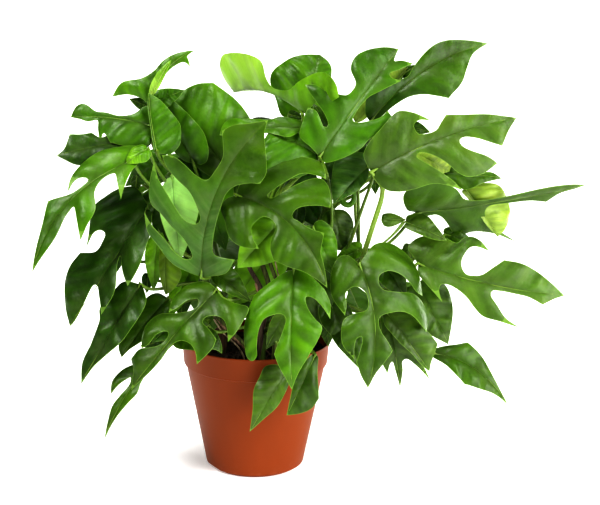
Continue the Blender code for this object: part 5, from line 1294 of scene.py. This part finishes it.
class MonsteraLeafSettings(bpy.types.PropertyGroup):
    """What a user would change on the leaves and stalks."""

    vein_relief: FloatProperty(
        name="Vein relief", description="Height of the soft waves between side veins", default=0.00005,
        max=0.002, **LENGTH)
    swell: FloatProperty(
        name="Swell", description="Height of the slow swelling of the blades", default=0.0018, max=0.003,
        **LENGTH)
    margin_droop: FloatProperty(
        name="Margin droop", description="How far the margins turn down", default=0.0027, max=0.004,
        **LENGTH)
    midrib_groove: FloatProperty(
        name="Midrib groove", description="Depth of the groove along the midrib", default=0.0006, max=0.003,
        **LENGTH)
    valley: FloatProperty(
        name="Valley", description="Depth of the broad valley that the midrib lies in", default=0.0034,
        max=0.01, **LENGTH)
    face_roughness: FloatProperty(
        name="Face roughness", description="How matt the upper faces are", default=0.40, **SHARE)
    underside_roughness: FloatProperty(
        name="Underside roughness", description="How matt the undersides are", default=0.50, **SHARE)
    translucency: FloatProperty(
        name="Translucency", description="How much light passes into the leaf", default=0.10, **SHARE)
    cloud_scale: FloatProperty(
        name="Cloud scale", description="Scale of the broad changes of tone", default=16.0, min=1.0,
        max=100.0)
    streak_relief: FloatProperty(
        name="Streak relief", description="Depth of the puckers between side veins", default=0.0030,
        max=0.01, **LENGTH)
    uneven_scale: FloatProperty(
        name="Uneven scale", description="Scale of the dents that break up the sheen", default=62.0,
        min=1.0, max=300.0)
    # Also the colour of the painted grey sheen beside the midrib, and the base of the pale hairs
    bloom_and_sheen_colour: FloatVectorProperty(
        name="Bloom", description="Greyish bloom beside the midrib", default=(0.07, 0.095, 0.030), **COLOUR)
    dapple_relief: FloatProperty(
        name="Dapple relief", description="Depth of the fine unevenness of the skin", default=0.0005,
        max=0.002, **LENGTH)
    dapple_scale: FloatProperty(
        name="Dapple scale", description="Scale of the fine unevenness of the skin", default=330.0,
        min=10.0, max=2000.0)
    mid: FloatVectorProperty(
        name="Mid green", description="Grown leaves", default=(0.050, 0.112, 0.003), **COLOUR)
    fresh: FloatVectorProperty(
        name="Fresh green", description="Leaves near the shoots' ends", default=(0.058, 0.152, 0.003),
        **COLOUR)
    bright: FloatVectorProperty(
        name="Bright green", description="Young leaves", default=(0.078, 0.190, 0.003), **COLOUR)
    lime: FloatVectorProperty(
        name="Lime green", description="The newest leaves", default=(0.36, 0.58, 0.085), **COLOUR)
    # Partly painted shade: also the tone of leaves in the plant's shade and of dark leaves that fill its gaps
    deep_and_shaded: FloatVectorProperty(
        name="Deep green", description="Old leaves low in the plant", default=(0.030, 0.078, 0.003),
        **COLOUR)
    satin: FloatVectorProperty(
        name="Satin green", description="Grown leaves with a grey bloom", default=(0.074, 0.138, 0.016),
        **COLOUR)
    spring: FloatVectorProperty(
        name="Spring green", description="Young leaves that the light falls through",
        default=(0.18, 0.37, 0.014), **COLOUR)
    yellow: FloatVectorProperty(
        name="Yellow green", description="Ageing leaves", default=(0.27, 0.37, 0.06), **COLOUR)
    pale: FloatVectorProperty(
        name="Pale green", description="A new leaf deep in the plant", default=(0.40, 0.70, 0.20), **COLOUR)
    blue: FloatVectorProperty(
        name="Bluish green", description="The leaf in the middle on the left",
        default=(0.074, 0.158, 0.028), **COLOUR)
    olive: FloatVectorProperty(
        name="Olive green", description="A fading leaf", default=(0.13, 0.215, 0.010), **COLOUR)
    rib_colour: FloatVectorProperty(
        name="Midrib", description="Colour of the midrib's line", default=(0.10, 0.16, 0.025), **COLOUR)
    margin_colour: FloatVectorProperty(
        name="Margin", description="Colour of the thin pale margin", default=(0.22, 0.36, 0.06), **COLOUR)
    underside_colour: FloatVectorProperty(
        name="Underside", description="Bloom of the undersides", default=(0.09, 0.17, 0.03), **COLOUR)
    petiole_colour: FloatVectorProperty(
        name="Petioles", description="Colour of the leaf stalks", default=(0.20, 0.30, 0.045), **COLOUR)
    stem_colour: FloatVectorProperty(
        name="Stems", description="Colour of the vine stems", default=(0.12, 0.20, 0.03), **COLOUR)


class MonsteraPotSettings(bpy.types.PropertyGroup):
    """What a user would change on the pot."""

    plastic_colour: FloatVectorProperty(
        name="Plastic", description="Terracotta colour of the plastic", default=(0.25, 0.056, 0.009),
        **COLOUR)
    scuff_colour: FloatVectorProperty(
        name="Scuffs", description="Dust and scuffs near the foot", default=(0.50, 0.26, 0.16), **COLOUR)
    plastic_roughness: FloatProperty(
        name="Roughness", description="How matt the plastic is", default=0.36, **SHARE)


class MonsteraSoilSettings(bpy.types.PropertyGroup):
    """What a user would change on the soil and on what lies on it."""

    soil_colour: FloatVectorProperty(
        name="Soil", description="Colour of the moist compost", default=(0.030, 0.019, 0.013), **COLOUR)
    fibre_colour: FloatVectorProperty(
        name="Fibres", description="Colour of the paler fibres", default=(0.17, 0.10, 0.055), **COLOUR)
    sheath_colour: FloatVectorProperty(
        name="Sheaths", description="Colour of dry leaf sheaths", default=(0.30, 0.19, 0.12), **COLOUR)
    stalk_brown: FloatVectorProperty(
        name="Brown stalks", description="Colour of dead stalks", default=(0.085, 0.058, 0.034), **COLOUR)
    stalk_olive: FloatVectorProperty(
        name="Olive stalks", description="Colour of fading stalks", default=(0.105, 0.125, 0.030), **COLOUR)
    stalk_pale: FloatVectorProperty(
        name="Pale roots", description="Colour of aerial roots", default=(0.34, 0.27, 0.17), **COLOUR)
    roots: IntProperty(
        name="Roots", description="Number of thin roots on the soil", default=16, min=0, max=200)
    crumbs: IntProperty(
        name="Crumbs", description="Number of loose crumbs on the soil", default=520, min=0, max=4000)
    crumb_size: FloatProperty(
        name="Crumb size", description="Radius of the largest crumbs", default=0.0026, max=0.01, **LENGTH)


class MonsteraStageSettings(bpy.types.PropertyGroup):
    """What a user would change on the studio."""

    floor_colour: FloatVectorProperty(
        name="Floor", description="Colour of the studio floor", default=(0.88, 0.88, 0.88), **COLOUR)
    floor_glow: FloatProperty(
        name="Floor glow", description="Light that the translucent floor gives", default=0.32, min=0.0,
        max=2.0)
    room_light: FloatProperty(
        name="Room light", description="Strength of the glow of the surroundings", default=0.08, min=0.0,
        max=5.0)
    key_light: FloatProperty(
        name="Key light", description="Strength of the soft light from the upper left", default=2.55,
        min=0.0, max=50.0)
    second_light: FloatProperty(
        name="Second light", description="Strength of the soft light from the right", default=1.7, min=0.0,
        max=50.0)
    back_light: FloatProperty(
        name="Back light", description="Strength of the soft light from above and behind", default=0.6,
        min=0.0, max=50.0)
    gamma: FloatProperty(
        name="Gamma", description="Contrast of the picture", default=0.865, min=0.1, max=5.0)
    side_lamp: FloatProperty(
        name="Side light", description="Power of the lamp at the front right", default=9.0, max=500.0,
        **POWER)
    rim_lamp: FloatProperty(
        name="Rim light", description="Power of the low lamp behind on the right", default=3.5, max=500.0,
        **POWER)


class MONSTERA_OT_pot(bpy.types.Operator):
    """Models the nursery pot with its stepped collar, rolled lip, foot notches and drain holes"""

    bl_idname = "monstera.pot"
    bl_label = "Nursery pot"

    def execute(self, context):
        pot = ring_of_pot(pot_profile(), POT_SIDES, "nursery_pot")
        cut_away(pot, [*foot_notches(), *drain_holes()])
        dress(pot, plastic_material("terracotta_plastic_satin", context.scene.monstera_pot))
        finish_piece(pot, "terracotta_plastic", "pot", angle=POT_SMOOTH)
        return {"FINISHED"}


def foot_notches():
    """Cylinders squashed flat, lying across the foot ring."""
    made = []
    squash = Matrix.Diagonal((1, 1, NOTCH_HEIGHT / (NOTCH_WIDTH / 2), 1))
    for i in range(NOTCHES):
        angle = math.radians(FIRST_NOTCH + 360.0 * i / NOTCHES)
        place = Matrix.Translation(Vector((math.cos(angle), math.sin(angle), 0.0)) * FOOT_RADIUS * MM)
        place = place @ squash @ Matrix.Rotation(angle, 4, "Z") @ Matrix.Rotation(math.pi / 2, 4, "Y")
        made.append(cutting_cylinder(f"notch_{i}", NOTCH_SIDES, NOTCH_WIDTH / 2, NOTCH_DEPTH, place))
    return made


def drain_holes():
    """Cylinders on a circle through the pot's floor."""
    made = []
    for i in range(DRAINS):
        angle = math.radians(FIRST_NOTCH + 360.0 * (i + 0.5) / DRAINS)
        x, y = DRAIN_CIRCLE * math.cos(angle), DRAIN_CIRCLE * math.sin(angle)
        place = Matrix.Translation(Vector((x, y, FLOOR_TOP - FLOOR / 2)) * MM)
        made.append(cutting_cylinder(f"drain_{i}", DRAIN_SIDES, DRAIN_RADIUS, DRAIN_DEPTH, place))
    return made


class MONSTERA_OT_soil(bpy.types.Operator):
    """Models the compost with its uneven top and the loose crumbs on it"""

    bl_idname = "monstera.soil"
    bl_label = "Soil and crumbs"

    def execute(self, context):
        settings = context.scene.monstera_soil
        soil = ring_of_pot(soil_profile(), SOIL_SIDES, "compost")
        for vertex in soil.data.vertices:
            if vertex.co.z > (SOIL_TOP - 0.5) * MM:
                x, y = vertex.co.x / MM, vertex.co.y / MM
                vertex.co.z += (soil_height(x, y) + clod_height(x, y)) * MM
        compost = soil_material("moist_compost", settings)
        dress(soil, compost)
        finish_piece(soil, "dark_soil", "soil", angle=SOIL_SMOOTH)
        crumbs = crumb_object(settings)
        dress(crumbs, compost)
        finish_piece(crumbs, "dark_soil", angle=SOIL_SMOOTH)
        return {"FINISHED"}


def crumb_object(settings):
    """One lump, copied all over the soil with its own size, squash and turn."""
    deselect()
    bpy.ops.mesh.primitive_uv_sphere_add(segments=CRUMB_SIDES, ring_count=CRUMB_RINGS, radius=1.0)
    lump = bpy.context.object
    shape = np.array([vertex.co[:] for vertex in lump.data.vertices])
    faces = [list(polygon.vertices) for polygon in lump.data.polygons]
    bpy.data.objects.remove(lump)
    draw = np.random.default_rng(SEED)
    largest = settings.crumb_size / MM
    reach = inner_radius(SOIL_TOP) - SOIL_GAP - largest
    points, rows = [], []
    for i in range(settings.crumbs):
        angle, distance = draw.uniform(0, 2 * math.pi), reach * math.sqrt(draw.uniform())
        size = largest * (CRUMB_LEAST + (1.0 - CRUMB_LEAST) * draw.uniform() ** CRUMB_POWER)
        dents = 1.0 + CRUMB_DENT * draw.uniform(-1, 1, (len(shape), 1))
        squashed = shape * dents * draw.uniform(*CRUMB_SQUASH, 3)
        turn = Matrix.Rotation(draw.uniform(0, CRUMB_TURN), 3, draw.uniform(-1, 1, 3))
        x, y = distance * math.cos(angle), distance * math.sin(angle)
        height = SOIL_TOP + soil_height(x, y) + size * CRUMB_STANDS
        points.append(squashed @ np.array(turn) * size + (x, y, height))
        rows += [[corner + i * len(shape) for corner in face] for face in faces]
    return new_mesh("soil_crumbs", np.vstack(points), rows)


class MONSTERA_OT_blades(bpy.types.Operator):
    """Models the cut leaf blades of every shoot, one piece a shoot"""

    bl_idname = "monstera.blades"
    bl_label = "Leaf blades"

    def execute(self, context):
        settings = context.scene.monstera_leaves
        face = leaf_material("leaf_face", settings, under=False)
        underside = leaf_material("leaf_underside", settings, under=True)
        for name, shoot in SHOOTS.items():
            blades = [blade_object(f"{name}_blade_{i}", row, settings)
                      for i, row in enumerate(shoot["leaves"])]
            piece = joined(f"{name}_blades", blades)
            dress(piece, face, underside)
            thicken(piece, BLADE, back=1)
            finish_piece(piece, "leaf_green", name)
        return {"FINISHED"}


class MONSTERA_OT_stalks(bpy.types.Operator):
    """Models the stem of every shoot with its petioles and the ribs under its blades, one piece a shoot"""

    bl_idname = "monstera.stalks"
    bl_label = "Stems and petioles"

    def execute(self, context):
        settings = context.scene.monstera_leaves
        green = stalk_material("stalk_green", settings)
        for name, shoot in SHOOTS.items():
            made = [tube(f"{name}_stem", *stem_path(shoot), settings.stem_colour)]
            for i, row in enumerate(shoot["leaves"]):
                leaf_tone = np.array(getattr(settings, row["tone"]))
                own = min(1.0, PETIOLE_OWN_COLOUR * row["stalk"])
                colour = own * np.array(settings.petiole_colour) + (1.0 - own) * leaf_tone
                made.append(tube(f"{name}_petiole_{i}", *petiole_path(shoot, row, settings), colour))
            piece = joined(f"{name}_stalks", made)
            dress(piece, green)
            finish_piece(piece, "leaf_green", name)
        return {"FINISHED"}


class MONSTERA_OT_litter(bpy.types.Operator):
    """Models what lies between the stems: old stalks, dry leaf sheaths, thin roots and a curled bud"""

    bl_idname = "monstera.litter"
    bl_label = "Old stalks, sheaths, roots and bud"

    def execute(self, context):
        settings, leaves = context.scene.monstera_soil, context.scene.monstera_leaves
        made = []
        for i, (tone, radius, places) in enumerate(OLD_STALKS):
            run = smooth_line(places, STEM_STEP)
            radii = radius * np.linspace(*OLD_STALK_TAPER, len(run))
            made.append(tube(f"old_stalk_{i}", run, radii, getattr(settings, tone)))
        draw = np.random.default_rng(SEED)
        made += [tube(f"root_{i}", *root_path(draw), settings.fibre_colour) for i in range(settings.roots)]
        made += [sheath(f"sheath_{i}", *row, settings.sheath_colour) for i, row in enumerate(SHEATHS)]
        litter = joined("old_stalks_and_roots", made)
        dress(litter, papery_material("dry_stalk", settings))
        finish_piece(litter, "dark_soil")
        run = smooth_line(BUD_PATH, BUD_STEP)
        radii = np.interp(np.linspace(0, 1, len(run)), *BUD_RADII)
        bud = tube("curled_bud", run, radii, leaves.bright, sides=4)
        dress(bud, stalk_material("bud_green", leaves))
        finish_piece(bud, "leaf_green")
        return {"FINISHED"}


def root_path(draw):
    """A thin root that arches out of the soil and back into it, in millimetres, and its radii."""
    angle, distance = draw.uniform(0, 2 * math.pi), ROOT_REACH * math.sqrt(draw.uniform(*ROOT_SPREAD))
    heading, length = draw.uniform(0, 2 * math.pi), draw.uniform(*ROOT_LENGTH)
    start = np.array([distance * math.cos(angle), distance * math.sin(angle), SOIL_TOP - ROOT_SUNK])
    across = np.array([math.cos(heading), math.sin(heading), 0.0]) * length
    if np.linalg.norm((start + across)[:2]) > ROOT_REACH:
        across = -across
    side = np.array([-across[1], across[0], 0.0]) * draw.uniform(-ROOT_BEND, ROOT_BEND)
    lifted = start + side + np.array([0.0, 0.0, draw.uniform(*ROOT_RISE)])
    shoulders = [lifted + across * share for share in ROOT_SHOULDERS]
    run = bezier(start, *shoulders, start + across, ROOT_STEPS)
    return run, np.full(len(run), draw.uniform(*ROOT_RADIUS))


def sheath(name, places, width, colour):
    """A dry strip that wraps round a stalk: a curved band, narrow at both ends."""
    run = smooth_line(places, STEM_STEP)
    rows = []
    for point, share in zip(run, np.linspace(0.0, 1.0, len(run))):
        half = width / 2 * math.sin(math.pi * (SHEATH_START + SHEATH_SPAN * share)) ** SWELL_POWER
        for turn in np.linspace(-SHEATH_WRAP, SHEATH_WRAP, SHEATH_STRIPS):
            out = half * (SHEATH_HOLLOW[0] - SHEATH_HOLLOW[1] * math.cos(turn))
            rows.append(point + np.array([math.sin(turn) * half, out, 0.0]))
    corners = [i * SHEATH_STRIPS + k for i in range(len(run) - 1) for k in range(SHEATH_STRIPS - 1)]
    obj = new_mesh(name, rows, [(c, c + 1, c + SHEATH_STRIPS + 1, c + SHEATH_STRIPS) for c in corners])
    thicken(obj, SHEATH_THICKNESS)
    paint(obj, colour)
    return obj


class MONSTERA_OT_stage(bpy.types.Operator):
    """Sets up the pale floor, the soft studio lamps and the photo's camera"""

    bl_idname = "monstera.stage"
    bl_label = "Studio"

    def execute(self, context):
        settings = context.scene.monstera_stage
        deselect()
        bpy.ops.mesh.primitive_circle_add(vertices=FLOOR_SIDES, radius=FLOOR_RADIUS, fill_type="NGON")
        floor = bpy.context.object
        floor.name = "studio_floor"
        dress(floor, floor_material("pale_floor", settings))
        context.scene.world = studio_world(settings)
        for name, (direction, spread) in SUNS.items():
            light("SUN", name, direction, (0, 0, 0), getattr(settings, name)).angle = math.radians(spread)
        for name, (place, target, size) in LAMPS.items():
            light("AREA", name, place, target, getattr(settings, name)).size = size
        context.scene.camera = photo_camera()
        context.scene.view_settings.view_transform = "Standard"
        context.scene.view_settings.look = "High Contrast"
        context.scene.view_settings.gamma = settings.gamma
        return {"FINISHED"}


def studio_world(settings):
    """White surroundings as the camera sees them, and a dimmer glow on the object."""
    world = bpy.data.worlds.new("studio")
    world.use_nodes = True
    nodes, links = world.node_tree.nodes, world.node_tree.links
    glow = nodes["Background"]
    glow.inputs["Color"].default_value = (1.0, 1.0, 1.0, 1.0)
    glow.inputs["Strength"].default_value = settings.room_light
    backdrop = nodes.new("ShaderNodeBackground")
    backdrop.inputs["Color"].default_value = (1.0, 1.0, 1.0, 1.0)
    choice = nodes.new("ShaderNodeMixShader")
    links.new(nodes.new("ShaderNodeLightPath").outputs["Is Camera Ray"], choice.inputs["Fac"])
    links.new(glow.outputs["Background"], choice.inputs[1])
    links.new(backdrop.outputs["Background"], choice.inputs[2])
    links.new(choice.outputs["Shader"], nodes["World Output"].inputs["Surface"])
    return world


def light(kind, name, place, target, power):
    """A lamp at its place, aimed at its target."""
    deselect()
    bpy.ops.object.light_add(type=kind, location=place)
    obj = bpy.context.object
    obj.name = name
    obj.data.energy = power
    obj.rotation_mode = "QUATERNION"
    obj.rotation_quaternion = (Vector(target) - Vector(place)).to_track_quat("-Z", "Y")
    return obj.data


def photo_camera():
    """The camera at the photo's place, tipped and rolled as the photo's was."""
    pitch, roll = math.radians(CAMERA_PITCH), math.radians(CAMERA_ROLL)
    ahead = Vector((0.0, math.cos(pitch), -math.sin(pitch)))
    level = Vector((1.0, 0.0, 0.0))
    upright = level.cross(ahead)
    right = level * math.cos(roll) + upright * math.sin(roll)
    up = upright * math.cos(roll) - level * math.sin(roll)
    data = bpy.data.cameras.new("photo_camera")
    data.sensor_width = SENSOR
    data.lens = CAMERA_FOCAL / PICTURE_WIDTH * SENSOR
    camera = bpy.data.objects.new("photo_camera", data)
    bpy.context.scene.collection.objects.link(camera)
    turn = Matrix((right, up, -ahead)).transposed()
    camera.matrix_world = Matrix.Translation(Vector(CAMERA_PLACE) * MM) @ turn.to_4x4()
    return camera


OPERATORS = (MONSTERA_OT_pot, MONSTERA_OT_soil, MONSTERA_OT_blades, MONSTERA_OT_stalks, MONSTERA_OT_litter,
             MONSTERA_OT_stage)
SETTINGS = {
    "monstera_leaves": MonsteraLeafSettings,
    "monstera_pot": MonsteraPotSettings,
    "monstera_soil": MonsteraSoilSettings,
    "monstera_stage": MonsteraStageSettings,
}


class MONSTERA_PT_panel(bpy.types.Panel):
    """Lists the operators in the order that they are run"""

    bl_label = "Potted mini monstera"
    bl_space_type = "VIEW_3D"
    bl_region_type = "UI"
    bl_category = "Monstera"

    def draw(self, context):
        for operator in OPERATORS:
            self.layout.operator(operator.bl_idname)


def register():
    for name, settings in SETTINGS.items():
        bpy.utils.register_class(settings)
        setattr(bpy.types.Scene, name, PointerProperty(type=settings))
    for operator in OPERATORS:
        bpy.utils.register_class(operator)
    bpy.utils.register_class(MONSTERA_PT_panel)


def unregister():
    bpy.utils.unregister_class(MONSTERA_PT_panel)
    for operator in reversed(OPERATORS):
        bpy.utils.unregister_class(operator)
    for name, settings in SETTINGS.items():
        delattr(bpy.types.Scene, name)
        bpy.utils.unregister_class(settings)


def main():
    register()
    bpy.ops.monstera.pot()
    bpy.ops.monstera.soil()
    bpy.ops.monstera.blades()
    bpy.ops.monstera.stalks()
    bpy.ops.monstera.litter()
    bpy.ops.monstera.stage()


if __name__ == "__main__":
    main()
